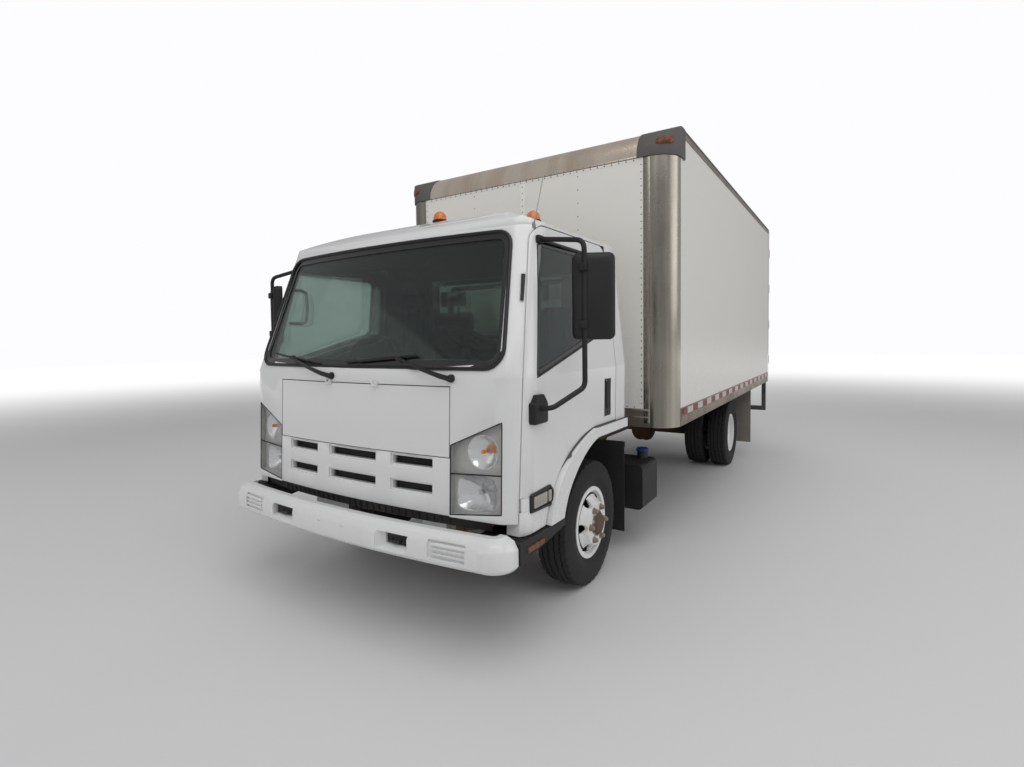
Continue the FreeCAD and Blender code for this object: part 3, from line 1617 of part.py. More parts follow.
def tow_pocket():
    """A pocket whose lead-in widens towards the middle of the truck and downwards."""
    front = axle - s.front_overhang
    deep = front + s.tow_hole_depth
    lead = s.tow_lead_in
    plan = [
        (s.tow_hole_in - lead, front - 20),
        (s.tow_hole_out, front - 20),
        (s.tow_hole_out, deep),
        (s.tow_hole_in, deep),
        (s.tow_hole_in, front + lead),
        (s.tow_hole_in - lead, front + lead / 4),
    ]
    base, top = s.tow_hole_base, s.tow_hole_base + s.tow_hole_height
    side = [
        (front - 20, base - lead / 2),
        (front + lead / 4, base - lead / 2),
        (front + lead, base),
        (deep, base),
        (deep, top),
        (front - 20, top),
    ]
    wide = plate("tow_pocket_plan", "Z", plan, s.bumper_base - 20, s.bumper_top)
    return common("tow_pocket", wide, plate("tow_pocket_side", "X", side, 0, s.bumper_half))


def louvre_cutter():
    """A shallow recess in the bumper's end with three bars left standing in it."""
    front = axle - s.front_overhang
    reach = (front, front + s.bumper_plate)
    top = s.louvre_base + s.louvre_height
    hollow = block("louvre_block", (s.louvre_in, s.louvre_out), reach, (s.louvre_base, top))
    pitch = s.louvre_height / 7
    bars = [block(f"louvre_bar_{index}", (s.louvre_in + pitch * 2, s.louvre_out + 10), reach,
                  (s.louvre_base + pitch * (index * 2 + 1), s.louvre_base + pitch * (index * 2 + 2)))
            for index in range(3)]
    raised = bumper_form("bumper_bars", s.louvre_bar_depth)
    standing = common("louvre_standing", fuse("louvre_bars", bars), raised)
    return cut("louvre_recess", hollow, [bumper_form("bumper_recess", s.louvre_depth), standing])


def build_bumper():
    """A bowed bumper with two tow pockets, end louvres and plate holes, on brackets under the rails."""
    outer = bumper_form("bumper_outer", 0)
    rear = axle - s.bumper_side_rear + s.bumper_plate
    inner_plan = bumper_plan(s.bumper_plate, rear)
    inner = plate("bumper_inner", "Z", inner_plan, s.bumper_base - 20, s.bumper_top + 20)
    front = axle - s.front_overhang
    pocket = tow_pocket()
    pocket_right = mirrored("tow_pocket_right", pocket)
    louvre = louvre_cutter()
    tools = [inner, pocket, pocket_right, louvre, mirrored("louvre_right", louvre)]
    for name, side in (("left", s.plate_hole_spacing / 2), ("right", -s.plate_hole_spacing / 2)):
        hole = (side, front - 10, s.plate_hole_level)
        tools.append(rod(f"plate_hole_{name}", "Y", hole, s.plate_hole_radius, 50))
    shell = cut("bumper_shell", outer, tools)
    back = front + s.bumper_plate - 20
    end = axle - s.rail_front
    side = [
        (back, s.bracket_base),
        (end + 180, s.bracket_base),
        (end + 180, rail_base),
        (end, rail_base),
        (end - 20, s.bracket_front_top),
        (back, s.bracket_front_top),
    ]
    arm = plate("bumper_arm", "X", side, s.frame_half - s.rail_flange + 6, s.frame_half - 6)
    trimmed = cut("bumper_arm_cut", arm, [pocket])
    node("front_bumper", fuse("bumper_joined", [shell, trimmed, mirrored("bumper_arm_right", trimmed)]))


def build_guard():
    """The rear underride guard: a cross bar on four posts."""
    rear = body_rear - 10
    y = (rear - s.guard_thick, rear)
    top = s.guard_base + s.guard_height
    bar = block("guard_bar", (-s.guard_half, s.guard_half), y, (s.guard_base, top))
    outer = block("guard_outer", (s.guard_half - s.guard_thick, s.guard_half), y, (top, s.body_bottom))
    inner = block("guard_inner", (s.frame_half - s.guard_thick, s.frame_half), y, (top, s.body_bottom))
    posts = [outer, inner, mirrored("guard_outer_right", outer), mirrored("guard_inner_right", inner)]
    node("underride_guard", fuse("guard_joined", [bar] + posts))


# Dry-freight body

def build_floor():
    """Deck, cross members and the two runners that sit on the frame rails."""
    start, end = body_front + s.wall, body_rear - s.rear_frame_depth
    parts = [block("deck", (-inside_half, inside_half), (start, end), (deck_base, s.deck_top))]
    count = int(s.floor_member_count.number)
    for index in range(count):
        y = start + (end - start - s.floor_member_width) * (index / (count - 1))
        parts.append(block(f"floor_member_{index}", (-inside_half, inside_half),
                           (y, y + s.floor_member_width), (s.body_bottom, deck_base)))
    runner = block("runner", (s.frame_half - s.sill_runner_width, s.frame_half), (start, end),
                   (s.rail_top, s.body_bottom))
    parts += [runner, mirrored("runner_right", runner)]
    half, bend, skin = s.body_half_width, s.post_round, s.post_wall
    outside = [
        (half - bend, body_front),
        (half + 10, body_front),
        (half + 10, body_front + bend),
        (half - skin, body_front + bend),
        (half - bend, body_front + skin, (bend - skin) * (1 - math.sqrt(0.5))),
    ]
    corner = plate("floor_corner", "Z", outside, s.rail_top, s.deck_top + 10)
    joined = fuse("floor_joined", parts)
    node("body_floor", cut("floor_cut", joined, [corner, mirrored("floor_corner_right", corner)]))


def build_body_walls():
    """Front wall, side walls and roof: flat panels between the rails and posts."""
    low, high = s.body_bottom + s.bottom_rail_height, s.body_top - s.top_rail_height
    flat_half = s.body_half_width - s.post_round
    panel = block("front_panel", (-flat_half, flat_half), (body_front, body_front + s.wall),
                  (low, s.body_top - s.header_round))
    notch = block("front_notch", (s.body_half_width - s.cap_width, flat_half + 10),
                  (body_front - 10, body_front + s.wall + 10), (s.body_top - s.cap_height, s.body_top))
    node("body_front_wall", cut("front_wall", panel, [notch, mirrored("front_notch_right", notch)]))
    side = block("side_panel", (inside_half, s.body_half_width),
                 (body_front + s.post_round, body_rear - s.rear_frame_depth), (low, high))
    corner = block("cap_corner", (inside_half - 50, s.body_half_width + 50),
                   (body_front - 50, body_front + s.cap_length),
                   (s.body_top - s.cap_height, s.body_top + 50))
    node("body_side_walls", pair("side_walls", cut("side_wall", side, [corner])))
    roof = block("roof_panel", (-inside_half, inside_half),
                 (body_front + s.header_round, body_rear - s.rear_frame_depth), (roof_base, s.body_top))
    corner_in = block("roof_corner", (s.body_half_width - s.cap_width, s.body_half_width),
                      (body_front, body_front + s.cap_length), (roof_base - 10, s.body_top + 10))
    node("body_roof", cut("roof_cut", roof, [corner_in, mirrored("roof_corner_right", corner_in)]))


def build_posts():
    """Quarter-round front posts and the quarter-round header between the caps."""
    half, bend, skin = s.body_half_width, s.post_round, s.post_wall
    rise = 1 - math.sqrt(0.5)
    plan = [
        (half - bend, body_front),
        (half, body_front + bend, bend * rise),
        (half - skin, body_front + bend),
        (half - bend, body_front + skin, (skin - bend) * rise),
    ]
    post = plate("post", "Z", plan, s.body_bottom, s.body_top - s.cap_height)
    bend = s.header_round
    side = [
        (body_front, s.body_top - bend, bend * rise),
        (body_front + skin, s.body_top - bend),
        (body_front + bend, s.body_top - skin, (skin - bend) * rise),
        (body_front + bend, s.body_top),
    ]
    reach = half - s.cap_width
    header = plate("header", "X", side, -reach, reach)
    node("front_posts", group("post_group", [post, mirrored("post_right", post), header]))


cap_top = s.body_top + s.cap_proud / 2


def cap_form(name, skin, reach, top):
    """The cap's outer shape, or with skin and reach the hollow under it, carried past its open sides."""
    half = s.body_half_width + s.cap_proud - skin
    front = body_front - s.cap_proud + skin
    inner = s.body_half_width - s.cap_width - reach
    rear = body_front + s.cap_length + reach
    bottom = s.body_top - s.cap_height - reach
    rise = 1 - math.sqrt(0.5)
    bend = s.post_round + s.cap_proud - skin
    plan = [
        (half - bend, front),
        (half, front + bend, bend * rise),
        (half, rear),
        (inner, rear),
        (inner, front),
    ]
    plan_form = plate(f"{name}_plan", "Z", plan, bottom, top)
    bend = top - (s.body_top - s.header_round)
    side = [
        (front, bottom),
        (rear, bottom),
        (rear, top),
        (front + bend, top),
        (front, top - bend, bend * rise),
    ]
    side_form = plate(f"{name}_side", "X", side, inner - 10, half + 10)
    return common(name, plan_form, side_form)


def build_caps():
    """Cast corner caps where post, header, side wall and roof meet."""
    solid = cap_form("cap_solid", 0, 0, cap_top)
    hollow = cap_form("cap_hollow", s.cap_proud + s.wall, 20, roof_base)
    node("corner_caps", pair("cap_pair", cut("cap_part", solid, [hollow])))
    return solid


def build_marker_lamps(cap):
    """Oval amber lamps on the caps' rounded corners and small ones at the front of the bottom rails."""
    x = s.body_half_width - s.cap_lens_place
    z = s.body_top - s.cap_lens_drop
    oval = soft_outline((x - s.cap_lens_half, z), (x + s.cap_lens_half, z + s.cap_lens_height),
                        s.cap_lens_height * 0.45)
    region = plate("cap_lens", "Y", oval, body_front - s.cap_proud * 2, body_front + s.post_round)
    raised = cap_form("cap_lens_form", -s.cap_lens_rise, 0, cap_top)
    lamp = cut("cap_lamp", common("cap_lens_part", region, raised), [cap])
    start = body_front + s.post_round + s.rail_lamp_length / 2
    z = s.body_bottom + s.bottom_rail_height * 0.7
    outer = s.body_half_width + s.rail_proud
    low = block("rail_lamp", (outer, outer + s.cap_proud - s.rail_proud),
                (start, start + s.rail_lamp_length), (z, z + s.rail_lamp_height))
    node("marker_lamps", group("marker_group", [pair("marker_pair", lamp), pair("rail_lamp_pair", low)]))


def build_rails():
    """Aluminium rails along the foot and head of the side walls, and the sill under the front wall."""
    rear = body_rear - s.rear_frame_depth
    outer = s.body_half_width + s.rail_proud
    low = block("bottom_rail", (inside_half, outer), (body_front + s.post_round, rear),
                (s.body_bottom, s.body_bottom + s.bottom_rail_height))
    high = block("top_rail", (inside_half, outer), (body_front + s.cap_length, rear),
                 (s.body_top - s.top_rail_height, s.body_top + s.rail_proud))
    half = s.body_half_width - s.post_round
    sill = block("sill", (-half, half), (body_front, body_front + s.wall),
                 (s.body_bottom, s.body_bottom + s.bottom_rail_height))
    rails = [low, mirrored("bottom_rail_right", low), high, mirrored("top_rail_right", high), sill]
    node("body_rails", group("rail_group", rails))


def build_rear_frame():
    """Steel door frame with the fixed halves of the cargo door hinges."""
    y = (body_rear - s.rear_frame_depth, body_rear)
    half = s.body_half_width
    post = block("rear_post", (half - s.rear_post, half), y, (s.body_bottom, s.body_top))
    parts = [post, mirrored("rear_post_right", post)]
    parts.append(block("rear_head", (-half, half), y, (s.body_top - s.rear_header, s.body_top)))
    parts.append(block("rear_sill", (-half, half), y, (s.body_bottom, s.deck_top)))
    pin_x, pin_y = s.cargo_pin_side, body_rear + s.cargo_pin_out
    lug = s.cargo_strap_plate * 1.5
    for index, level in enumerate(hinge_levels()):
        low, high = level - lug - 1, level + s.cargo_hinge_height + 1
        hinge = [rod(f"pin_{index}", "Z", (pin_x, pin_y, low), s.cargo_pin_radius, high + lug - low)]
        for name, z in (("low", low), ("high", high)):
            hinge.append(block(f"lug_{index}_{name}", (pin_x - 12, half), (body_rear, pin_y), (z, z + lug)))
            hinge.append(rod(f"lug_eye_{index}_{name}", "Z", (pin_x, pin_y, z), s.cargo_knuckle_radius, lug))
        for piece in hinge:
            parts += [piece, mirrored(piece.Name + "_right", piece)]
    node("rear_frame", fuse("rear_frame_joined", parts))


def hinge_levels():
    low = s.deck_top + 150
    high = s.body_top - s.rear_header - 150 - s.cargo_hinge_height
    count = int(s.cargo_hinge_count.number)
    return [low + (high - low) * (index / (count - 1)) for index in range(count)]


def build_cargo_doors():
    """Swing doors with hinge straps, a lock rod, its guides and its handle."""
    gap = s.cargo_door_gap
    edge = s.body_half_width - s.rear_post - gap
    low, high = s.deck_top + gap, s.body_top - s.rear_header - gap
    parts = [block("cargo_leaf", (gap, edge), (body_rear - s.cargo_door_plate, body_rear), (low, high))]
    pin_x, pin_y = s.cargo_pin_side, body_rear + s.cargo_pin_out
    skin = s.cargo_strap_plate
    strap = [
        (pin_x - s.cargo_strap_length, body_rear),
        (edge - 20, body_rear),
        (pin_x, pin_y - s.cargo_knuckle_radius),
        (pin_x, pin_y),
        (edge - 28, body_rear + skin),
        (pin_x - s.cargo_strap_length, body_rear + skin),
    ]
    bores = []
    tall = s.cargo_hinge_height
    bore = s.cargo_pin_radius + s.kingpin_clear
    for index, level in enumerate(hinge_levels()):
        parts.append(plate(f"strap_{index}", "Z", strap, level, level + tall))
        parts.append(rod(f"knuckle_{index}", "Z", (pin_x, pin_y, level), s.cargo_knuckle_radius, tall))
        bores.append(rod(f"knuckle_bore_{index}", "Z", (pin_x, pin_y, level - 5), bore, tall + 10))
    rod_x = s.lock_rod_place
    rod_y = body_rear + s.lock_rod_radius + 2
    parts.append(rod("lock_rod", "Z", (rod_x, rod_y, low + 10), s.lock_rod_radius, high - low - 20))
    for index, share in enumerate((0.03, 0.35, 0.65, 0.96)):
        z = low + (high - low) * share
        across = (rod_x - 35, rod_x + 35)
        parts.append(block(f"guide_{index}", across, (body_rear, rod_y + 4), (z - 20, z + 20)))
    z = low + 420
    parts.append(block("lock_handle", (rod_x, rod_x + 260), (body_rear + 10, rod_y), (z, z + 32)))
    parts.append(block("handle_catch", (rod_x + 200, rod_x + 250), (body_rear, rod_y), (z - 10, z + 42)))
    door = cut("cargo_door_left_part", fuse("cargo_door_solid", parts), bores)
    node("cargo_door_left", door)
    node("cargo_door_right", mirrored("cargo_door_right_part", door))


def build_tail_lamps():
    z = (s.body_bottom + s.deck_top) / 2
    lamps = []
    for index, side in enumerate((s.tail_lamp_side, s.tail_lamp_side - 140)):
        start = (side, body_rear, z)
        lamps.append(rod(f"tail_lamp_{index}", "Y", start, s.tail_lamp_radius, s.tail_lamp_plate))
    lamps += [mirrored(lamp.Name + "_right", lamp) for lamp in lamps]
    z = s.body_top - s.rear_header / 2
    for index, x in enumerate((-1080, -180, 0, 180, 1080)):
        lamps.append(block(f"head_lamp_{index}", (x - 35, x + 35),
                           (body_rear, body_rear + s.tail_lamp_plate), (z - 14, z + 14)))
    node("tail_lamps", group("tail_lamp_group", lamps))


lid_knuckles = build_cab_front()
build_cab_roof()
build_roof_lamps()
build_cab_back()
build_cab_glass()
build_cab_floor()
build_front_lid(lid_knuckles)
build_grille()
build_headlamps()
build_arches()
build_steps()
build_steering_wheel(build_dash())
build_seats()
build_doors()
build_mirrors()
build_frame()
build_crossmembers()
build_engine()
build_springs(build_front_axle(), build_rear_axle())
build_knuckles()
build_tie_rod()
build_wheels()
build_tanks()
build_exhaust()
build_flaps()
build_bumper()
build_guard()
build_floor()
build_body_walls()
build_posts()
build_marker_lamps(build_caps())
build_rails()
build_rear_frame()
build_cargo_doors()
build_tail_lamps()
doc.recompute()

for thing in doc.Objects:
    if "Invalid" in thing.State or "Error" in thing.State:
        raise RuntimeError(f"{thing.Name} failed: {thing.State}")
for thing in nodes:
    if thing.Shape.isNull() or not thing.Shape.isValid():
        raise RuntimeError(f"{thing.Label} has no valid shape")

os.makedirs("parts", exist_ok=True)
for thing in nodes:
    thing.Shape.exportStep(f"parts/{thing.Label}.step")
    print(f"{thing.Label}: {len(thing.Shape.Solids)} solids, {thing.Shape.Volume / 1e6:.1f} litres")
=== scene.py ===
import math

import bmesh
import bpy
from mathutils import Matrix, Vector
from mathutils.bvhtree import BVHTree


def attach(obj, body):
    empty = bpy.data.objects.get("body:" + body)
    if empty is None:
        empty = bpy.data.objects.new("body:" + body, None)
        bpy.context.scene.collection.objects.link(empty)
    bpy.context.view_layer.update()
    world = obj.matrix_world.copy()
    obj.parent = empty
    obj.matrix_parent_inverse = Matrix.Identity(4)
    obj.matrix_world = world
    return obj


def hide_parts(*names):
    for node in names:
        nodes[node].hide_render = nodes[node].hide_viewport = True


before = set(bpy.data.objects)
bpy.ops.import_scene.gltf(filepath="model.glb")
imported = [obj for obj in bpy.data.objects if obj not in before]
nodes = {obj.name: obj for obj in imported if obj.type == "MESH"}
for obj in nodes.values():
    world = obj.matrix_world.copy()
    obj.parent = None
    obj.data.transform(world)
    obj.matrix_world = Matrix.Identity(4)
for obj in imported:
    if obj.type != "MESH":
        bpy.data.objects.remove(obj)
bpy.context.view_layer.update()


# Stage: a pale floor, a soft studio and a camera at the photograph's viewing angle. The
# lamps and the world light the truck at a plain level, and the camera ray sees white.

axle = -2.222


class Value:
    """A shader socket that adds Math nodes when it is used in an expression."""

    def __init__(self, tree, socket):
        self.tree = tree
        self.socket = socket

    def math(self, operation, *others):
        sockets = {f"at{index}": item for index, item in enumerate((self, *others))}
        return add_node(self.tree, "ShaderNodeMath", {"operation": operation}, **sockets)

    def __add__(self, other):
        return self.math("ADD", other)

    def __sub__(self, other):
        return self.math("SUBTRACT", other)

    def __rsub__(self, other):
        return (self * -1) + other

    def __mul__(self, other):
        return self.math("MULTIPLY", other)

    def __truediv__(self, other):
        return self.math("DIVIDE", other)

    def __gt__(self, other):
        return self.math("GREATER_THAN", other)

    def __lt__(self, other):
        return self.math("LESS_THAN", other)

    __radd__ = __add__
    __rmul__ = __mul__

    def ramp(self, low, high, start=0, end=1):
        """Eases from start to end while the value goes from low to high."""
        return add_node(self.tree, "ShaderNodeMapRange", {"interpolation_type": "SMOOTHSTEP"}, value=self,
                        from_min=low, from_max=high, to_min=start, to_max=end)


def feed(tree, item, socket):
    if isinstance(item, Value):
        tree.links.new(item.socket, socket)
    elif socket.type == "RGBA" and len(item) == 3:
        socket.default_value = (*item, 1)
    else:
        socket.default_value = item


def add_node(tree, kind, settings=None, output=0, **inputs):
    """Adds a node, sets its settings, then feeds its sockets by name, or by number as in at0."""
    node = tree.nodes.new(kind)
    for name, value in (settings or {}).items():
        setattr(node, name, value)
    for name, item in inputs.items():
        key = int(name[2:]) if name[:2] == "at" and name[2:].isdigit() else name.replace("_", " ").title()
        feed(tree, item, node.inputs[key])
    return Value(tree, node.outputs[output])


class Finish:
    """A material: constants on the shader's sockets, and nodes behind the few that vary."""

    def __init__(self, name, **constants):
        self.material = bpy.data.materials.new(name)
        self.material.use_nodes = True
        self.tree = self.material.node_tree
        self.shader = self.tree.nodes["Principled BSDF"]
        for socket, value in constants.items():
            self.drive(socket.replace("_", " ").title(), value)

    def add(self, *kind_and_settings, **sockets):
        return add_node(self.tree, *kind_and_settings, **sockets)

    def drive(self, socket, item):
        names = {"Ior": "IOR"}
        feed(self.tree, item, self.shader.inputs[names.get(socket, socket)])
        return self

    def place(self, axis=None, stretch=(1, 1, 1)):
        """The point on the truck in metres, or one of its coordinates."""
        where = self.add("ShaderNodeTexCoord", output=3)
        if axis is not None:
            return self.add("ShaderNodeSeparateXYZ", output=axis, at0=where)
        return self.add("ShaderNodeVectorMath", {"operation": "MULTIPLY"}, at0=where, at1=stretch)

    def noise(self, scale, detail=2, stretch=(1, 1, 1), rough=0.5):
        return self.add("ShaderNodeTexNoise", scale=scale, detail=detail, roughness=rough,
                        vector=self.place(stretch=stretch))

    def mix(self, share, first, second):
        return self.add("ShaderNodeMix", {"data_type": "RGBA"}, output=2, at0=share, at6=first, at7=second)

    def bump(self, height, distance):
        normal = self.add("ShaderNodeBump", strength=1, distance=distance, height=height)
        return self.drive("Normal", normal)


floor_finish = Finish("studio_floor", base_color=(0.78, 0.78, 0.78), roughness=0.55)
bpy.ops.mesh.primitive_grid_add(x_subdivisions=40, y_subdivisions=40, size=90)
floor = bpy.context.object
floor.name = "studio_floor"
floor.data.materials.append(floor_finish.material)
seen, glossy, through = (floor_finish.add("ShaderNodeLightPath", output=output) for output in (0, 3, 6))
distance = floor_finish.add("ShaderNodeVectorMath", {"operation": "LENGTH"}, output=1, at0=floor_finish.place())
far = distance.ramp(7, 22) * (seen + glossy + through).math("MINIMUM", 1)
white = floor_finish.add("ShaderNodeEmission", color=(1, 1, 1), strength=1.0)
cover = floor_finish.add("ShaderNodeMixShader", at0=far,
                         at1=Value(floor_finish.tree, floor_finish.shader.outputs[0]), at2=white)
floor_finish.tree.links.new(cover.socket, floor_finish.tree.nodes["Material Output"].inputs["Surface"])

world = bpy.data.worlds.new("studio")
bpy.context.scene.world = world
world.use_nodes = True
sky = world.node_tree
backdrop = sky.nodes["Background"]
backdrop.inputs["Color"].default_value = (0.98, 0.98, 1.0, 1)
seen, glossy, through = (add_node(sky, "ShaderNodeLightPath", output=output) for output in (0, 3, 6))
feed(sky, (seen + through).math("MINIMUM", 1) * 0.66 + glossy * 0.06 + 0.34, backdrop.inputs["Strength"])


def lamp(name, where, aim, size, power, mirrored=True):
    light = bpy.data.lights.new(name, "AREA")
    light.shape = "RECTANGLE"
    light.size, light.size_y = size
    light.energy = power
    holder = bpy.data.objects.new(name, light)
    holder.location = where
    holder.rotation_euler = (Vector(aim) - Vector(where)).to_track_quat("-Z", "Y").to_euler()
    holder.visible_glossy = mirrored
    bpy.context.scene.collection.objects.link(holder)


lamp("key_above", (3.5, -5.0, 8.5), (0, 0, 1), (8, 8), 340)
lamp("fill_front", (-7.0, -9.0, 4.0), (0, -2, 1.3), (6, 5), 120, mirrored=False)
lamp("fill_left", (9.5, 1.0, 4.5), (1, 0.5, 1.3), (7, 5), 120)
lamp("rear_soft", (-4.0, 10.0, 6.0), (0, 3, 1.5), (7, 5), 150)

camera_data = bpy.data.cameras.new("photo_view")
camera_data.sensor_width = 36
camera_data.lens = 19.163
camera_data.shift_x = 0.02256
camera_data.shift_y = -0.0203
camera = bpy.data.objects.new("photo_view", camera_data)
bpy.context.scene.collection.objects.link(camera)
yaw, pitch, roll = 0.594, -0.042, -0.014
ahead = Vector((-math.sin(yaw) * math.cos(pitch), math.cos(yaw) * math.cos(pitch), math.sin(pitch)))
level_right = ahead.cross(Vector((0, 0, 1))).normalized()
level_up = level_right.cross(ahead)
right = level_right * math.cos(roll) + level_up * math.sin(roll)
upward = level_up * math.cos(roll) - level_right * math.sin(roll)
turn = Matrix((right, upward, -ahead)).transposed().to_4x4()
camera.matrix_world = Matrix.Translation((2.270, axle - 3.104, 1.514)) @ turn
bpy.context.scene.camera = camera
bpy.context.scene.view_settings.view_transform = "Standard"


def dress(finish, *names, soft_edge=0.002):
    """Gives CAD nodes their finish and takes the sharpness off their edges."""
    for name in names:
        thing = nodes[name]
        thing.data.materials.clear()
        thing.data.materials.append(finish.material)
        if soft_edge:
            weld = thing.modifiers.new("weld", "WELD")
            weld.merge_threshold = 0.00002
            edge = thing.modifiers.new("edge", "BEVEL")
            edge.width = soft_edge
            edge.segments = 2
            edge.limit_method = "ANGLE"
            edge.angle_limit = math.radians(32)
            edge.use_clamp_overlap = True
            edge.harden_normals = True


# Ladder frame: two pressed-steel channels joined by cross members, painted black, with
# road dust that lies thicker low down and rust at the edges.

def dusty(name, colour, dust=(0.22, 0.20, 0.18), roughness=0.55, low=0.15, high=0.9, amount=0.6, **more):
    finish = Finish(name, base_color=colour, roughness=roughness, **more)
    cloud = finish.noise(5, 5, rough=0.6)
    fine = finish.noise(60, 3)
    height = finish.place(2).ramp(low, high, 1, 0)
    dusting = (cloud.ramp(0.35, 0.75) * 0.6 + height * 0.5) * fine.ramp(0.3, 0.7, 0.6, 1) * amount
    finish.drive("Base Color", finish.mix(dusting, colour, dust))
    finish.drive("Roughness", (dusting * 0.4 + roughness).math("MINIMUM", 1))
    finish.bump(fine * 0.4 + cloud, 0.0012)
    return finish


frame_paint = dusty("frame_black", (0.035, 0.036, 0.038))
dress(frame_paint, "frame_rails", "crossmembers", "underride_guard", "battery_box")


# Running gear: a plain engine block with its gearbox and shaft, two axles on leaf springs,
# the steered knuckles with their rod, and the exhaust, cast or forged iron with a skin
# of rust.

rusty_iron = dusty("rusty_iron", (0.10, 0.062, 0.042), dust=(0.24, 0.13, 0.07), roughness=0.8, metallic=0.4)
dress(rusty_iron, "engine_and_drive", "front_axle_beam", "rear_axle", "leaf_springs", "knuckle_left",
      "knuckle_right", "tie_rod", "exhaust")


# Tanks: a fuel tank in pale aluminium on the right, a moulded treatment-fluid tank with a
# blue cap on the left, both hung from brackets on the rails.

def metal(name, colour, roughness, grain, way, **more):
    """Bare metal with a fine grain along one axis and dull patches."""
    finish = Finish(name, base_color=colour, metallic=1.0, roughness=roughness, **more)
    stretch = tuple(1 if axis == way else 40 for axis in range(3))
    lines = finish.noise(grain, 4, stretch=stretch)
    cloud = finish.noise(2.3, 4, rough=0.62)
    dull = tuple(c * 0.72 for c in colour)
    finish.drive("Base Color", finish.mix(cloud.ramp(0.38, 0.72), colour, dull))
    finish.drive("Roughness", cloud.ramp(0.3, 0.75, roughness * 0.75, roughness * 1.5) + lines * 0.08)
    finish.bump(lines, 0.00006)
    return finish


tank_metal = metal("tank_aluminium", (0.62, 0.63, 0.65), 0.34, 3, 1)
dress(tank_metal, "fuel_tank")
black_mould = dusty("black_moulding", (0.007, 0.007, 0.008), dust=(0.06, 0.057, 0.054), roughness=0.55, amount=0.3,
                    low=0.2, high=0.8)
dress(black_mould, "urea_tank")


# Arch liners and mudflaps: black moulded liners clipped under the flares, and rubber flaps
# that hang behind the wheels, scuffed pale behind the rear ones.

dress(black_mould, "arch_liners")
flap_rubber = dusty("flap_rubber", (0.02, 0.02, 0.02), dust=(0.09, 0.085, 0.08), roughness=0.75, amount=0.4)
worn = flap_rubber.place(1).ramp(0, 0.5) * flap_rubber.noise(7, 4).ramp(0.2, 0.6, 0.75, 1)
flap_rubber.drive("Base Color", flap_rubber.mix(worn, (0.022, 0.021, 0.02), (0.24, 0.22, 0.195)))
dress(flap_rubber, "mudflaps")


# Wheels: pressed steel discs welded into their rims and painted white, rusty round the
# hubs, each held by six nuts, in black road tyres with four zigzag grooves.

rear_axle = 1.588
tyre_radius = 0.380
wheel_paint = Finish("wheel_white", base_color=(0.76, 0.76, 0.74), roughness=0.38)
wheel_axis = wheel_paint.place(2) - tyre_radius
across = wheel_paint.place(1)
front_away = (across - axle).math("POWER", 2)
rear_away = (across - rear_axle).math("POWER", 2)
reach = (front_away.math("MINIMUM", rear_away) + wheel_axis.math("POWER", 2)).math("SQRT")
patch = wheel_paint.noise(26, 4, rough=0.6)
rust = (reach + patch * 0.045).ramp(0.108, 0.092)
specks = patch.ramp(0.66, 0.72) * 0.8
side_on = wheel_paint.place(0).math("ABSOLUTE")
steered = across < 0
# Painted shade: the front barrels, the hub seen through the hand holes and the wheels' inner faces are coloured
# near black, as the shade inside the wheels.
disc_back, hole_reach, barrel_back, twin_back = 0.915, 0.180, 0.865, 0.830
behind_disc = (side_on < disc_back) * (reach < hole_reach) * steered
in_barrel = (side_on < barrel_back) * steered
behind_twin = side_on < twin_back
shade = behind_disc.math("MAXIMUM", in_barrel).math("MAXIMUM", behind_twin)
worn_paint = wheel_paint.mix(rust.math("MAXIMUM", specks), (0.90, 0.90, 0.89), (0.12, 0.078, 0.055))
wheel_paint.drive("Base Color", wheel_paint.mix(shade, worn_paint, (0.022, 0.020, 0.018)))
wheel_paint.drive("Roughness", rust.ramp(0, 1, 0.35, 0.85))
wheel_paint.bump(patch * rust, 0.002)
dress(wheel_paint, "front_wheel_left", "front_wheel_right", "rear_wheels_left", "rear_wheels_right")
tyre_rubber = dusty("tyre_rubber", (0.012, 0.012, 0.013), dust=(0.065, 0.06, 0.057), roughness=0.75, amount=0.45)


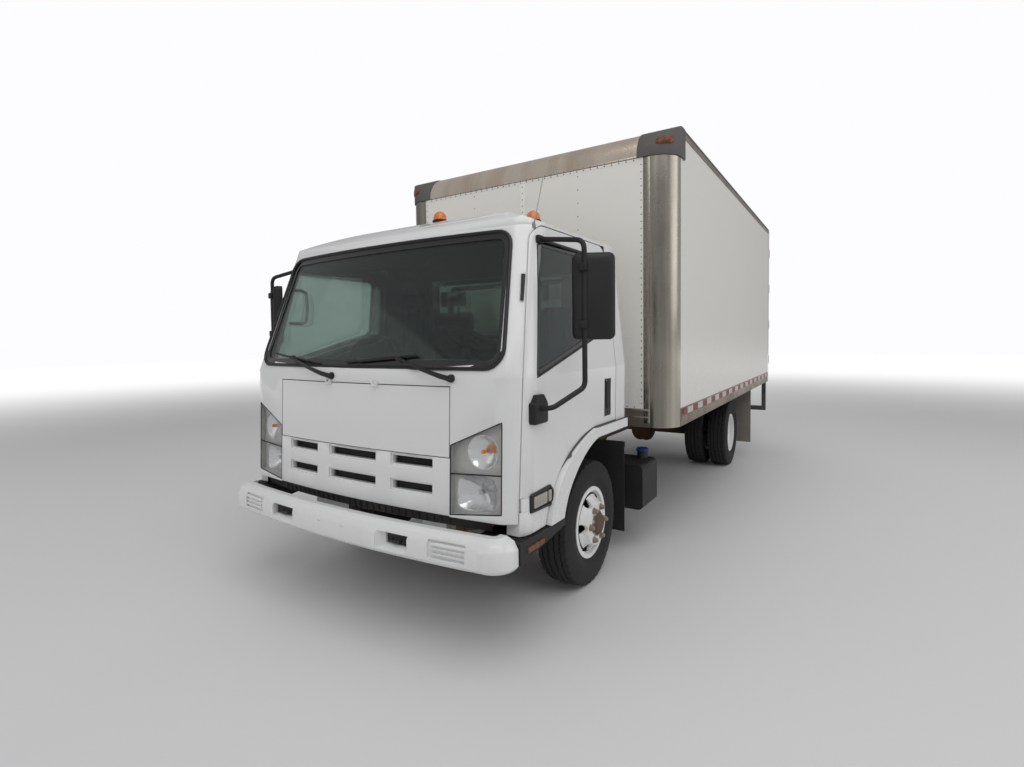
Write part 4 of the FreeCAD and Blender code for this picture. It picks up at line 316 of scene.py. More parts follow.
class Form:
    """A mesh being built in the truck's frame, in metres."""

    def __init__(self):
        self.mesh = bmesh.new()

    def add(self, points, faces):
        made = [self.mesh.verts.new(point) for point in points]
        for face in faces:
            self.mesh.faces.new([made[index] for index in face])
        return made

    def rings(self, rows, closed_rows=False, caps=False):
        """Joins rows of points that each close on themselves; closed_rows joins last to first."""
        count = len(rows[0])
        points = [point for row in rows for point in row]
        faces = []
        for row in range(len(rows) if closed_rows else len(rows) - 1):
            here, there = row * count, (row + 1) % len(rows) * count
            for index in range(count):
                after = (index + 1) % count
                faces.append((here + index, here + after, there + after, there + index))
        if caps:
            faces.append(tuple(range(count))[::-1])
            faces.append(tuple(range(len(points) - count, len(points))))
        return self.add(points, faces)

    def lathe(self, profile, centre, way=1, steps=48, axis=0):
        """Turns (along, radius) points about an axis through centre; a radius of 0 closes an end."""
        points = []
        for step in range(steps):
            angle = math.tau * step / steps
            for along, radius in profile:
                spot = [radius * math.cos(angle), radius * math.sin(angle)]
                spot.insert(axis, along * way)
                points.append(Vector(spot) + Vector(centre))
        count = len(profile)
        faces = []
        for step in range(steps):
            here, there = step * count, (step + 1) % steps * count
            for index in range(count - 1):
                faces.append((here + index, here + index + 1, there + index + 1, there + index))
        self.add(points, faces)

    def tube(self, points, radius, steps=10, ends=True):
        """A round bar along points."""
        points = [Vector(point) for point in points]
        rows = []
        side = None
        for index, point in enumerate(points):
            before = points[max(index - 1, 0)]
            after = points[min(index + 1, len(points) - 1)]
            way = (after - before).normalized()
            if side is None:
                side = way.cross(Vector((0, 0, 1)))
                if side.length < 0.1:
                    side = way.cross(Vector((1, 0, 0)))
            side = (side - way * side.dot(way)).normalized()
            other = way.cross(side)
            rows.append([point + (side * math.cos(math.tau * k / steps) + other * math.sin(math.tau * k / steps))
                         * radius for k in range(steps)])
        self.rings(rows, caps=ends)

    def prism(self, outline, axis, low, high):
        """An outline of pairs, carried along one axis from low to high."""
        def spot(pair, along):
            point = list(pair)
            point.insert(axis, along)
            return point
        self.rings([[spot(pair, low) for pair in outline], [spot(pair, high) for pair in outline]], caps=True)

    def block(self, low, high, soft=0.0, steps=2):
        """A box between two corners, with its edges rounded by soft."""
        corners = [(x, y, z) for x in (low[0], high[0]) for y in (low[1], high[1]) for z in (low[2], high[2])]
        faces = [(0, 1, 3, 2), (4, 6, 7, 5), (0, 4, 5, 1), (2, 3, 7, 6), (0, 2, 6, 4), (1, 5, 7, 3)]
        made = self.add(corners, faces)
        if soft:
            edges = list({edge for vert in made for edge in vert.link_edges})
            bmesh.ops.bevel(self.mesh, geom=edges, offset=soft, segments=steps, profile=0.5, affect="EDGES")

    def strap(self, path, out, widths, thick):
        """A flat bar along path whose broad side faces out; its width eases from first to last."""
        path = [Vector(point) for point in path]
        out = Vector(out).normalized()
        rows = []
        for index, point in enumerate(path):
            way = (path[min(index + 1, len(path) - 1)] - path[max(index - 1, 0)]).normalized()
            width = widths[0] + (widths[1] - widths[0]) * index / (len(path) - 1)
            side = way.cross(out).normalized() * width / 2
            rows.append([point - side, point + side, point + side + out * thick, point - side + out * thick])
        self.rings(rows, caps=True)

    def rivet(self, spot, axis, way, radius=0.0045, height=0.0016):
        """A low domed rivet head that faces way along one axis."""
        self.lathe([(0, radius), (height * 0.7, radius * 0.75), (height, 0)], spot, way, 8, axis)

    def turned(self, matrix):
        """Moves all that has been added."""
        bmesh.ops.transform(self.mesh, matrix=matrix, verts=self.mesh.verts)

    def finish(self, name, body, finish, slot, replaces=(), edge=0.0, sharp=35):
        """Closes the mesh, rides it on its body and gives it its finish."""
        bmesh.ops.remove_doubles(self.mesh, verts=self.mesh.verts, dist=0.00001)
        bmesh.ops.recalc_face_normals(self.mesh, faces=self.mesh.faces)
        for face in self.mesh.faces:
            face.smooth = True
        for line in self.mesh.edges:
            line.smooth = len(line.link_faces) != 2 or line.calc_face_angle() < math.radians(sharp)
        data = bpy.data.meshes.new(name)
        self.mesh.to_mesh(data)
        self.mesh.free()
        thing = bpy.data.objects.new(name, data)
        bpy.context.scene.collection.objects.link(thing)
        data.materials.append(finish.material)
        if edge:
            soft = thing.modifiers.new("edge", "BEVEL")
            soft.width = edge
            soft.segments = 2
            soft.limit_method = "ANGLE"
            soft.angle_limit = math.radians(sharp)
        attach(thing, body)
        if replaces:
            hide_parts(*replaces)
        return thing


groove_places, groove_half, groove_depth = (-0.058, -0.021, 0.021, 0.058), 0.0042, 0.011
tread_half = 0.089


def tyre_section(step):
    """One section of the tyre: rounded sidewalls, ribs, zigzag grooves and shoulder slots."""
    zigzag = 0.0022 * (1 if step // 3 % 2 else -1)
    slot_here = step % 6 in (0, 1)
    side = [(-0.076, 0.2035), (-0.083, 0.211), (-0.086, 0.222), (-0.094, 0.238), (-0.1035, 0.262), (-0.1065, 0.268),
            (-0.1075, 0.284), (-0.1072, 0.300), (-0.1045, 0.320), (-0.1040, 0.3225), (-0.1005, 0.338)]
    shoulder_dip = 0.006 if slot_here else 0
    points = side + [(-0.0965, 0.353 - shoulder_dip), (-0.0925, 0.3665 - shoulder_dip),
                     (-tread_half, 0.3735 - shoulder_dip)]
    for place in groove_places:
        crown = tyre_radius - place * place * 0.75
        middle = place + zigzag
        points += [(middle - groove_half, crown), (middle - groove_half * 0.7, crown - groove_depth),
                   (middle + groove_half * 0.7, crown - groove_depth), (middle + groove_half, crown)]
    points += [(-x, r) for x, r in points[:len(side) + 3]][::-1]
    return points


def build_tyre(form, side, along):
    count = 264
    rows = []
    for step in range(count):
        angle = math.tau * step / count
        rows.append([(side + x, along + r * math.cos(angle), tyre_radius + r * math.sin(angle))
                     for x, r in tyre_section(step)])
    form.rings(rows, closed_rows=True)


for name, body, sides, along in (
    ("front_tyre_left", "front_wheel_set_left", (0.8325,), axle),
    ("front_tyre_right", "front_wheel_set_right", (-0.8325,), axle),
    ("rear_tyres_left", "rear_wheel_set_left", (0.698, 0.952), rear_axle),
    ("rear_tyres_right", "rear_wheel_set_right", (-0.698, -0.952), rear_axle),
):
    tyre = Form()
    for side in sides:
        build_tyre(tyre, side, along)
    tyre.finish(f"{name}_tread", body, tyre_rubber, "tyre", replaces=(name,), sharp=28)

nut_iron = dusty("nut_iron", (0.36, 0.30, 0.25), dust=(0.38, 0.27, 0.19), roughness=0.7, metallic=0.3)
nut_circle, nut_half = 0.1025, 0.0165
hexagon = [(nut_half * math.cos(math.tau * k / 6), nut_half * math.sin(math.tau * k / 6)) for k in range(6)]
for name, body, side, along, face in (
    ("front_left", "front_wheel_set_left", 1, axle, 0.9595),
    ("front_right", "front_wheel_set_right", -1, axle, 0.9595),
    ("rear_left", "rear_wheel_set_left", 1, rear_axle, 0.838),
    ("rear_right", "rear_wheel_set_right", -1, rear_axle, 0.838),
):
    nuts = Form()
    for index in range(6):
        angle = math.tau * (index + 0.5) / 6
        y = along + nut_circle * math.sin(angle)
        z = tyre_radius + nut_circle * math.cos(angle)
        nuts.prism([(y + a, z + b) for a, b in hexagon], 0, face * side, (face + 0.019) * side)
        nuts.lathe([(0, 0.021), (0.004, 0.0195), (0.004, 0.0)], (face * side, y, z), side, 20)
        nuts.lathe([(0.0, 0.0115), (0.025, 0.0115), (0.028, 0.009), (0.028, 0.0)], (face * side, y, z), side, 16)
    nuts.finish(f"wheel_nuts_{name}", body, nut_iron, "wheel_paint", edge=0.0012)


# Bumper and cab panels: pressed steel in white gloss paint under a clear coat, with
# scuffs and a little road film low down.

cab_middle = (0, axle - 0.30, 1.55)
trim_grey = (0.12, 0.12, 0.118)


def gloss_white(name, colour, film=0.35, low=0.45, high=1.0, waviness=0.0004, trimmed=False, coat=0.6, haze=0.06,
                peel=0.04):
    """White paint under a clear coat; trimmed gives faces that look at the cab's middle a grey lining."""
    finish = Finish(name, base_color=colour, roughness=0.28, coat_weight=coat, coat_roughness=haze)
    cloud = finish.noise(1.6, 4, rough=0.6)
    fine = finish.noise(38, 4, rough=0.65)
    height = finish.place(2).ramp(low, high, 1, 0)
    dirt = (height * 0.7 + cloud.ramp(0.55, 0.8) * 0.35) * fine.ramp(0.42, 0.66) * film
    grubby = tuple(c * 0.72 for c in colour)
    finish.drive("Roughness", dirt * 0.5 + 0.21 + haze * 0.5)
    paint = finish.mix(dirt, colour, grubby)
    if trimmed:
        inward = finish.add("ShaderNodeVectorMath", {"operation": "SUBTRACT"}, at0=cab_middle, at1=finish.place())
        outward = finish.add("ShaderNodeTexCoord", output=1)
        facing = finish.add("ShaderNodeVectorMath", {"operation": "DOT_PRODUCT"}, output=1, at0=inward, at1=outward)
        lined = facing.ramp(0.28, 0.34)
        paint = finish.mix(lined, paint, trim_grey)
        finish.drive("Roughness", (dirt * 0.5 + 0.24) * (1 - lined) + lined * 0.8)
        finish.drive("Coat Weight", (1 - lined) * 0.6)
    finish.drive("Base Color", paint)
    finish.bump(cloud * 4 + fine * peel, waviness)
    return finish


cab_white = gloss_white("cab_white", (0.80, 0.805, 0.80), trimmed=True)
dress(cab_white, "cab_front", "cab_roof", "cab_back", "door_left", "door_right", "arch_flares", soft_edge=0.003)
panel_gloss = gloss_white("front_white", (0.80, 0.805, 0.80), film=0.1)
dress(panel_gloss, "grille", "front_bumper", soft_edge=0.003)
dress(panel_gloss, "front_lid", soft_edge=0)


# Cab inside: a rubber floor mat, a black steering wheel, and a dashboard moulded in
# grey-green plastic and screwed to the cab's front wall.

inner_black = dusty("inner_black", (0.018, 0.018, 0.019), dust=(0.08, 0.078, 0.075), roughness=0.7, amount=0.25)
dress(inner_black, "cab_floor", "steering_wheel")
dash_finish = dusty("dash_moulding", (0.17, 0.20, 0.18), dust=(0.26, 0.28, 0.26), roughness=0.6, amount=0.2)
dress(dash_finish, "dashboard", soft_edge=0.006)


# Seats: a driver's seat and a bench for two, foam pads in woven grey cloth on black
# plinths; each cover is sewn along its rim and drawn in along two seams.

seat_cloth = Finish("seat_cloth", base_color=(0.06, 0.06, 0.065), roughness=0.92)
warp = (seat_cloth.place(0) * 1900).math("SINE")
weft = ((seat_cloth.place(1) + seat_cloth.place(2)) * 1900).math("SINE")
weave = warp * weft
seat_cloth.drive("Base Color", seat_cloth.mix(weave.ramp(-1, 1), (0.035, 0.035, 0.038), (0.085, 0.085, 0.092)))
seat_cloth.bump(weave, 0.0003)
seat_seams, seam_width, seam_depth = (-0.36, 0.36), 0.05, 0.008
seat_places = {"driver": (0.170, 0.670), "bench_right": (-0.890, -0.4875), "bench_middle": (-0.4825, -0.080)}


def build_pad(name, low, high, soft, crown, face, way, grid=26):
    """A rounded box, crowned on the side that face and way name and pulled in along its seams."""
    form = Form()
    centre = (Vector(low) + Vector(high)) / 2
    half = (Vector(high) - Vector(low)) / 2
    for axis in range(3):
        for sign in (-1, 1):
            others = [k for k in range(3) if k != axis]
            points = []
            for i in range(grid + 1):
                for j in range(grid + 1):
                    share = Vector((0, 0, 0))
                    share[axis] = sign
                    share[others[0]] = -1 + 2 * i / grid
                    share[others[1]] = -1 + 2 * j / grid
                    flat = Vector([share[k] * half[k] for k in range(3)])
                    core = Vector([max(min(flat[k], half[k] - soft), soft - half[k]) for k in range(3)])
                    spot = core + (flat - core).normalized() * soft if (flat - core).length else flat
                    plane = [share[k] for k in range(3) if k != face]
                    raised = (share[face] * way + 1) / 2
                    sewn = sum(math.exp(-((share[0] - seam) / seam_width) ** 2) for seam in seat_seams)
                    spot[face] += way * raised * raised * crown * (1 - plane[0] ** 2) * (1 - plane[1] ** 2)
                    spot[face] -= way * raised * raised * seam_depth * sewn
                    points.append(centre + spot)
            row = grid + 1
            faces = [(i * row + j, i * row + j + 1, (i + 1) * row + j + 1, (i + 1) * row + j)
                     for i in range(grid) for j in range(grid)]
            form.add(points, faces)
    pad = form.finish(name, "cab", seat_cloth, "cloth", sharp=80)
    return pad


pads = []
for place, (inner, outer) in seat_places.items():
    gap = 0.012
    across = (inner + gap, outer - gap)
    pads.append(build_pad(f"seat_cushion_{place}", (across[0], axle - 0.270, 1.112),
                          (across[1], axle + 0.140, 1.262), 0.045, 0.018, 2, 1))
    pads.append(build_pad(f"seat_back_{place}", (across[0], axle + 0.166, 1.180),
                          (across[1], axle + 0.240, 1.735), 0.034, 0.000, 1, -1))
    middle = (inner + outer) / 2
    pads.append(build_pad(f"seat_head_{place}", (middle - 0.118, axle + 0.174, 1.765),
                          (middle + 0.118, axle + 0.226, 1.890), 0.024, 0.0, 1, -1, grid=16))


def swell(pads, frames=20, reach=0.010):
    """Blows the covers up a little as cloth over the foam, and keeps each point near its start."""
    for pad in pads:
        even = pad.modifiers.new("even", "REMESH")
        even.mode = "VOXEL"
        even.voxel_size = 0.010
    depsgraph = bpy.context.evaluated_depsgraph_get()
    starts = {}
    for pad in pads:
        fresh = bpy.data.meshes.new_from_object(pad.evaluated_get(depsgraph))
        pad.modifiers.clear()
        pad.data = fresh
        starts[pad.name] = [vert.co.copy() for vert in fresh.vertices]
        cover = pad.modifiers.new("cover", "CLOTH")
        cover.settings.quality = 3
        cover.settings.use_pressure = True
        cover.settings.uniform_pressure_force = 4
        cover.settings.effector_weights.gravity = 0
        cover.point_cache.frame_end = frames
    for frame_number in range(1, frames + 1):
        bpy.context.scene.frame_set(frame_number)
    depsgraph = bpy.context.evaluated_depsgraph_get()
    for pad in pads:
        blown = [vert.co.copy() for vert in pad.evaluated_get(depsgraph).data.vertices]
        pad.modifiers.clear()
        for vert, start, after in zip(pad.data.vertices, starts[pad.name], blown):
            shift = after - start
            vert.co = start + shift * min(1, reach / max(shift.length, 1e-6))
        pad.data.shade_smooth()
        smooth = pad.modifiers.new("smooth", "SUBSURF")
        smooth.levels = smooth.render_levels = 1


swell(pads)
bpy.context.scene.frame_set(1)
plinths = Form()
for inner, outer in ((0.19, 0.65), (-0.87, -0.10)):
    plinths.block((inner, axle - 0.245, 1.1005), (outer, axle + 0.235, 1.125), soft=0.006)
for place, (inner, outer) in seat_places.items():
    middle = (inner + outer) / 2
    for side in (-0.05, 0.05):
        plinths.tube([(middle + side, axle + 0.203, 1.70), (middle + side, axle + 0.203, 1.80)], 0.006)
plinths.finish("seat_plinths", "cab", inner_black, "black_plastic", replaces=("seats",), sharp=40)


# Cab handles: a moulded grab handle on the right pillar and a hoop on the dash for the
# passenger, both bolted through the trim.

handles = Form()
handles.tube([(-0.885, axle - 0.790, 1.862), (-0.845, axle - 0.735, 1.862), (-0.832, axle - 0.715, 1.845),
              (-0.832, axle - 0.705, 1.750), (-0.838, axle - 0.715, 1.655), (-0.852, axle - 0.735, 1.640),
              (-0.900, axle - 0.800, 1.640)], 0.011, steps=12)
handles.finish("pillar_handle", "cab", dash_finish, "green_trim", sharp=60)
hoop = Form()
hoop.tube([(-0.330, axle - 0.815, 1.370), (-0.300, axle - 0.800, 1.470), (-0.250, axle - 0.795, 1.525),
           (-0.110, axle - 0.790, 1.550), (0.030, axle - 0.795, 1.525), (0.075, axle - 0.800, 1.470),
           (0.100, axle - 0.815, 1.370)], 0.013, steps=12)
hoop.finish("dash_hoop", "cab", inner_black, "black_plastic", sharp=60)


# Tow pockets: black steel plates at the backs of the two openings in the bumper, each with
# a tow eye of bent rod welded to it.

pocket_black = dusty("pocket_black", (0.014, 0.014, 0.015), roughness=0.6, amount=0.25)
pockets = Form()
for way in (1, -1):
    low, high = sorted((0.367 * way, 0.518 * way))
    pockets.block((low, axle - 1.196, 0.530), (high, axle - 1.172, 0.588), soft=0.002)
    middle = 0.43 * way
    pockets.tube([(middle - 0.03, axle - 1.19, 0.548), (middle - 0.03, axle - 1.215, 0.548),
                  (middle + 0.03, axle - 1.215, 0.548), (middle + 0.03, axle - 1.19, 0.548)], 0.006)
pockets.finish("tow_pockets", "chassis", pocket_black, "black_plastic")


# Grille: a black screen of fine bars behind the white frame's slots, and a black ribbed sheet
# that fills the gap under the grille and the lamps as painted shade.

def bowed(x, middle):
    """The cab front's line in plan: it sweeps back from its middle towards the corners."""
    return middle + 0.062 * (x / 0.875) ** 2


def evenly(low, high, count):
    """Values from low to high in count equal steps."""
    return [low + (high - low) * k / count for k in range(count + 1)]


screen = Form()
for level in [0.762 + 0.008 * k for k in range(6)] + [0.890 + 0.008 * k for k in range(6)]:
    screen.tube([(x, bowed(x, axle - 1.103) + (level - 0.6) * 0.0405 + 0.032, level)
                 for x in evenly(-0.56, 0.56, 24)], 0.0016, steps=5)
rows = []
for level in (0.700, 0.78, 0.86, 0.937):
    front = [(x, bowed(x, axle - 1.103) + (level - 0.6) * 0.0405 + 0.047, level) for x in evenly(-0.63, 0.63, 24)]
    rows.append(front + [(x, y + 0.002, z) for x, y, z in front[::-1]])
screen.rings(rows, caps=True)
screen.finish("grille_screen", "cab", pocket_black, "black_plastic", sharp=60)
# Painted shade: a black sheet with upright ribs across the gap under the grille and the lamps stands in for the
# shade in that gap.
gap_shade = Form()
rows = []
for level in (0.612, 0.640, 0.672):
    front = [(x, bowed(x, axle - 1.082) + (0.672 - level) * 0.25, level) for x in evenly(-0.86, 0.86, 40)]
    rows.append(front + [(x, y + 0.004, z) for x, y, z in front[::-1]])
gap_shade.rings(rows, caps=True)
for k in range(29):
    x = -0.63 + 0.045 * k
    y = bowed(x, axle - 1.078)
    gap_shade.strap([(x, y + 0.008, 0.618), (x, y, 0.666)], (0, -1, 0), (0.007, 0.007), 0.005)
gap_shade.finish("grille_valance", "cab", pocket_black, "black_plastic", sharp=50)


# Glass: toughened panes with a light green tint, printed black at their edges and held in
# black rubber seals.

def pane(name, tint, clearness):
    finish = Finish(name, base_color=tint, roughness=0.02, transmission_weight=1.0, ior=1.05, coat_weight=1.0,
                    coat_roughness=0.02)
    film = finish.noise(3, 3)
    finish.drive("Roughness", film.ramp(0.4, 0.8, 0.01, 0.05))
    finish.drive("Alpha", film.ramp(0.3, 0.8, clearness - 0.03, clearness + 0.03))
    return finish


window_glass = pane("window_glass", (0.27, 0.35, 0.315), 0.84)
dress(window_glass, "cab_glass", "door_glass_left", "door_glass_right", soft_edge=0)
seal_rubber = Finish("seal_rubber", base_color=(0.012, 0.012, 0.013), roughness=0.45)
seal_rubber.bump(seal_rubber.noise(90, 3), 0.0004)
print_black = Finish("printed_black", base_color=(0.008, 0.008, 0.009), roughness=0.12, coat_weight=0.8)
print_black.drive("Roughness", print_black.noise(8, 2).ramp(0.3, 0.7, 0.08, 0.18))


class Surface:
    """The skin of CAD nodes, on which trim is laid by casting a point along a direction."""

    def __init__(self, *names):
        self.trees = []
        for name in names:
            data = nodes[name].data
            points = [vert.co.copy() for vert in data.vertices]
            self.trees.append(BVHTree.FromPolygons(points, [tuple(face.vertices) for face in data.polygons]))

    def hit(self, start, way):
        """The nearest point of the skin from start along way, or None."""
        best = None
        for tree in self.trees:
            spot, _, _, away = tree.ray_cast(Vector(start), Vector(way))
            if spot is not None and (best is None or away < best[1]):
                best = (spot, away)
        return best and best[0]


def round_outline(corners, steps=6):
    """A closed outline of (a, b, radius) corners with each corner rounded."""
    points = []
    for index, (a, b, radius) in enumerate(corners):
        here = Vector((a, b))
        before = (Vector(corners[index - 1][:2]) - here).normalized()
        after = (Vector(corners[(index + 1) % len(corners)][:2]) - here).normalized()
        if radius == 0:
            points.append(here)
            continue
        half = before.angle(after) / 2
        reach = radius / math.tan(half)
        centre = here + (before + after).normalized() * (radius / math.sin(half))
        first = here + before * reach - centre
        last = here + after * reach - centre
        sweep = first.angle_signed(last)
        for step in range(steps + 1):
            angle = -sweep * step / steps
            cos, sin = math.cos(angle), math.sin(angle)
            points.append(centre + Vector((first.x * cos - first.y * sin, first.x * sin + first.y * cos)))
    return points


def round_box(low, high, radius):
    """A rounded rectangle between two corners."""
    return round_outline([(*low, radius), (high[0], low[1], radius), (*high, radius), (low[0], high[1], radius)])


def spread(points, gap):
    """Adds points to a closed outline so that no run is longer than gap."""
    full = []
    for index, point in enumerate(points):
        after = points[(index + 1) % len(points)]
        count = max(1, math.ceil((after - point).length / gap))
        full += [point.lerp(after, step / count) for step in range(count)]
    return full


def moved_in(points, reach):
    """The outline moved inwards by reach; the outline runs anticlockwise or clockwise."""
    area = sum(a.x * b.y - b.x * a.y for a, b in zip(points, points[1:] + points[:1]))
    sign = 1 if area > 0 else -1
    result = []
    for index, point in enumerate(points):
        way = (points[(index + 1) % len(points)] - points[index - 1]).normalized()
        result.append(point + Vector((-way.y, way.x)) * reach * sign)
    return result


def lay(surface, pairs, axis, start, lift):
    """Casts an outline of pairs on to a surface along one axis, from start, and lifts it off by lift."""
    way = [0, 0, 0]
    way[axis] = -1 if start > 0 else 1
    spots = []
    for pair in pairs:
        point = list(pair)
        point.insert(axis, start)
        spot = surface.hit(point, way)
        if spot is None:
            spot = Vector(point)
            spot[axis] = spots[-1][axis] if spots else start
        spots.append(spot - Vector(way) * lift)
    return spots


def build_surround(name, body, surface, outline, axis, start, width, seal, lift=0.001):
    """A printed band on the glass inside the outline, and a rubber seal along it."""
    band = Form()
    rows = [lay(surface, moved_in(outline, width * share), axis, start, lift) for share in (0.02, 0.5, 1)]
    band.rings(rows)
    band.finish(f"{name}_band", body, print_black, "black_plastic")
    edge = Form()
    path = lay(surface, outline, axis, start, lift)
    edge.tube(path + path[:1], seal, steps=8, ends=False)
    edge.finish(f"{name}_seal", body, seal_rubber, "rubber", sharp=80)


cab_fore, cab_beside = axle - 1.4, 1.3
windshield = spread(round_outline([(-0.925, 1.378, 0.085), (0.925, 1.378, 0.085), (0.842, 2.058, 0.085),
                                   (-0.842, 2.058, 0.085)]), 0.04)
build_surround("windshield", "cab", Surface("cab_glass", "cab_front", "cab_roof"), windshield, 1, cab_fore, 0.038,
               0.010, lift=0.0035)
rear_pane = spread(round_box((-0.56, 1.52), (0.56, 1.95), 0.05), 0.05)
build_surround("rear_window", "cab", Surface("cab_glass"), rear_pane, 1, axle + 0.6, 0.03, 0.008)
door_pane = spread(round_outline([
    (axle - 0.868, 1.330, 0.012), (axle - 0.013, 1.545, 0.05), (axle + 0.035, 1.593, 0.03),
    (axle + 0.035, 2.005, 0.06), (axle - 0.700, 2.005, 0.05)]), 0.05)
for side, way in (("left", 1), ("right", -1)):
    build_surround(f"door_window_{side}", f"cab_door_{side}", Surface(f"door_glass_{side}"), door_pane, 0,
                   cab_beside * way, 0.028, 0.008)


# Wipers: two black steel arms on pivots in the cowl, parked to the truck's right, each
# holding a rubber blade along the foot of the windshield.

wiper_black = dusty("wiper_black", (0.011, 0.011, 0.012), dust=(0.07, 0.065, 0.06), roughness=0.42, amount=0.25)
wiper_skin = Surface("cab_glass", "cab_front")


def on_shield(x, z, lift):
    return wiper_skin.hit((x, cab_fore, z), (0, 1, 0)) - Vector((0, lift, 0))


for name, pivot, joint, tip_low, tip_high in (
    ("left", (0.659, 1.331), (0.330, 1.425), (-0.060, 1.402), (0.430, 1.440)),
    ("right", (-0.160, 1.326), (-0.560, 1.424), (-0.780, 1.448), (-0.285, 1.392)),
):
    arm = Form()
    seat = on_shield(*pivot, 0)
    arm.lathe([(-0.006, 0.020), (0.008, 0.020), (0.010, 0.015), (0.022, 0.015), (0.024, 0.0)], seat, -1, 24, axis=1)
    first = seat - Vector((0, 0.018, 0))
    reach = [on_shield(x, z, 0) for x, z in zip(evenly(pivot[0], joint[0], 8), evenly(pivot[1], joint[1], 8))]
    path = [first] + [point - Vector((0, 0.026 + 0.010 * math.sin(math.pi * k / 8), 0))
                      for k, point in enumerate(reach)][1:]
    arm.strap(path, (0, -1, 0), (0.026, 0.012), 0.006)
    blade = [on_shield(x, z, 0.012) for x, z in zip(evenly(tip_low[0], tip_high[0], 16),
                                                    evenly(tip_low[1], tip_high[1], 16))]
    arm.strap(blade, (0, -1, 0), (0.009, 0.009), 0.006)
    arm.strap([point - Vector((0, 0.006, 0)) for point in blade[3:14]], (0, -1, 0), (0.013, 0.013), 0.006)
    arm.block(path[-1] + Vector((-0.018, -0.006, -0.011)), path[-1] + Vector((0.018, 0.014, 0.011)), soft=0.003)
    arm.finish(f"wiper_{name}", "cab", wiper_black, "black_plastic", sharp=45)
    lip = Form()
    lip.strap([point + Vector((0, 0.008, -0.001)) for point in blade], (0, -1, 0), (0.003, 0.003), 0.009)
    lip.finish(f"wiper_lip_{name}", "cab", seal_rubber, "rubber", sharp=60)


# Headlamps: a clear moulded lens over a grey housing, with a deep bowl for the main bulb
# below and a shallow one with an amber bulb above.

lamp_lens = pane("lamp_lens", (0.93, 0.94, 0.93), 0.30)
lamp_low_in, lamp_low_out, lamp_top_in, lamp_top_out = 0.677, 0.707, 1.010, 1.133
lamp_in, lamp_out = 0.656, 0.927
main_bowl, turn_bowl = (0.777, 0.783), (0.812, 0.985)
main_half, turn_round = (0.106, 0.084), 0.082
lamp_silver = Finish("lamp_silver", base_color=(0.66, 0.67, 0.67), metallic=0.7, roughness=0.2)
main_side = (lamp_silver.place(0).math("ABSOLUTE") - main_bowl[0]) / main_half[0]
main_up = (lamp_silver.place(2) - main_bowl[1]) / main_half[1]
in_main = (main_side.math("POWER", 4) + main_up.math("POWER", 4)).ramp(1.05, 0.9)
turn_side = lamp_silver.place(0).math("ABSOLUTE") - turn_bowl[0]
turn_up = lamp_silver.place(2) - turn_bowl[1]
away_turn = (turn_side.math("POWER", 2) + turn_up.math("POWER", 2)).math("SQRT")
bowl_and_its_shade = in_main.math("MAXIMUM", away_turn.ramp(turn_round + 0.002, turn_round - 0.004))
# Painted shade: the bowls are coloured darker than the housing, as the shade in their depth; their roughness and
# metal are their own.
lamp_silver.drive("Base Color", lamp_silver.mix(bowl_and_its_shade, (0.42, 0.42, 0.41), (0.66, 0.67, 0.67)))
lamp_silver.drive("Roughness", bowl_and_its_shade.ramp(0, 1, 0.45, 0.22))
lamp_silver.drive("Metallic", bowl_and_its_shade.ramp(0, 1, 0.25, 0.85))
lamp_silver.bump(lamp_silver.noise(34, 2), 0.0030)
bulb_amber = Finish("bulb_amber", base_color=(0.95, 0.28, 0.02), roughness=0.08, transmission_weight=0.4)
bulb_amber.drive("Roughness", bulb_amber.noise(200, 1).ramp(0.3, 0.7, 0.05, 0.12))


def lamp_floor(x, z):
    """How far the housing lies behind the lens at a point of the lamp."""
    depth = 0.034
    low = (abs((x - main_bowl[0]) / main_half[0]) ** 4 + abs((z - main_bowl[1]) / main_half[1]) ** 4) ** 0.25
    high = math.hypot(x - turn_bowl[0], z - turn_bowl[1]) / turn_round
    if low < 1:
        depth = 0.040 + 0.050 * (1 - low * low)
    elif high < 1:
        depth = 0.030 + 0.034 * (1 - high * high)
    elif 0.878 < z < 0.925:
        depth = 0.030 + 0.0016 * math.sin(x * math.tau / 0.0075)
    return depth


def lamp_grid(form, skin, way, lift, columns, rows):
    """A sheet over the lamp's four-sided outline, lift in front of or behind the skin."""
    points = []
    for row in range(rows + 1):
        for column in range(columns + 1):
            share = column / columns
            x = lamp_in + (lamp_out - lamp_in) * share
            low = lamp_low_in + (lamp_low_out - lamp_low_in) * share
            high = lamp_top_in + (lamp_top_out - lamp_top_in) * share
            z = low + (high - low) * row / rows
            spot = skin.hit((x * way, cab_fore, z), (0, 1, 0))
            points.append(spot + Vector((0, lift(x, z), 0)))
    faces = []
    for row in range(rows):
        for column in range(columns):
            here = row * (columns + 1) + column
            faces.append((here, here + 1, here + columns + 2, here + columns + 1))
    form.add(points, faces)
    border = [points[k] for k in range(columns + 1)]
    border += [points[r * (columns + 1) + columns] for r in range(1, rows + 1)]
    border += [points[rows * (columns + 1) + k] for k in range(columns - 1, -1, -1)]
    border += [points[r * (columns + 1)] for r in range(rows - 1, 0, -1)]
    return border


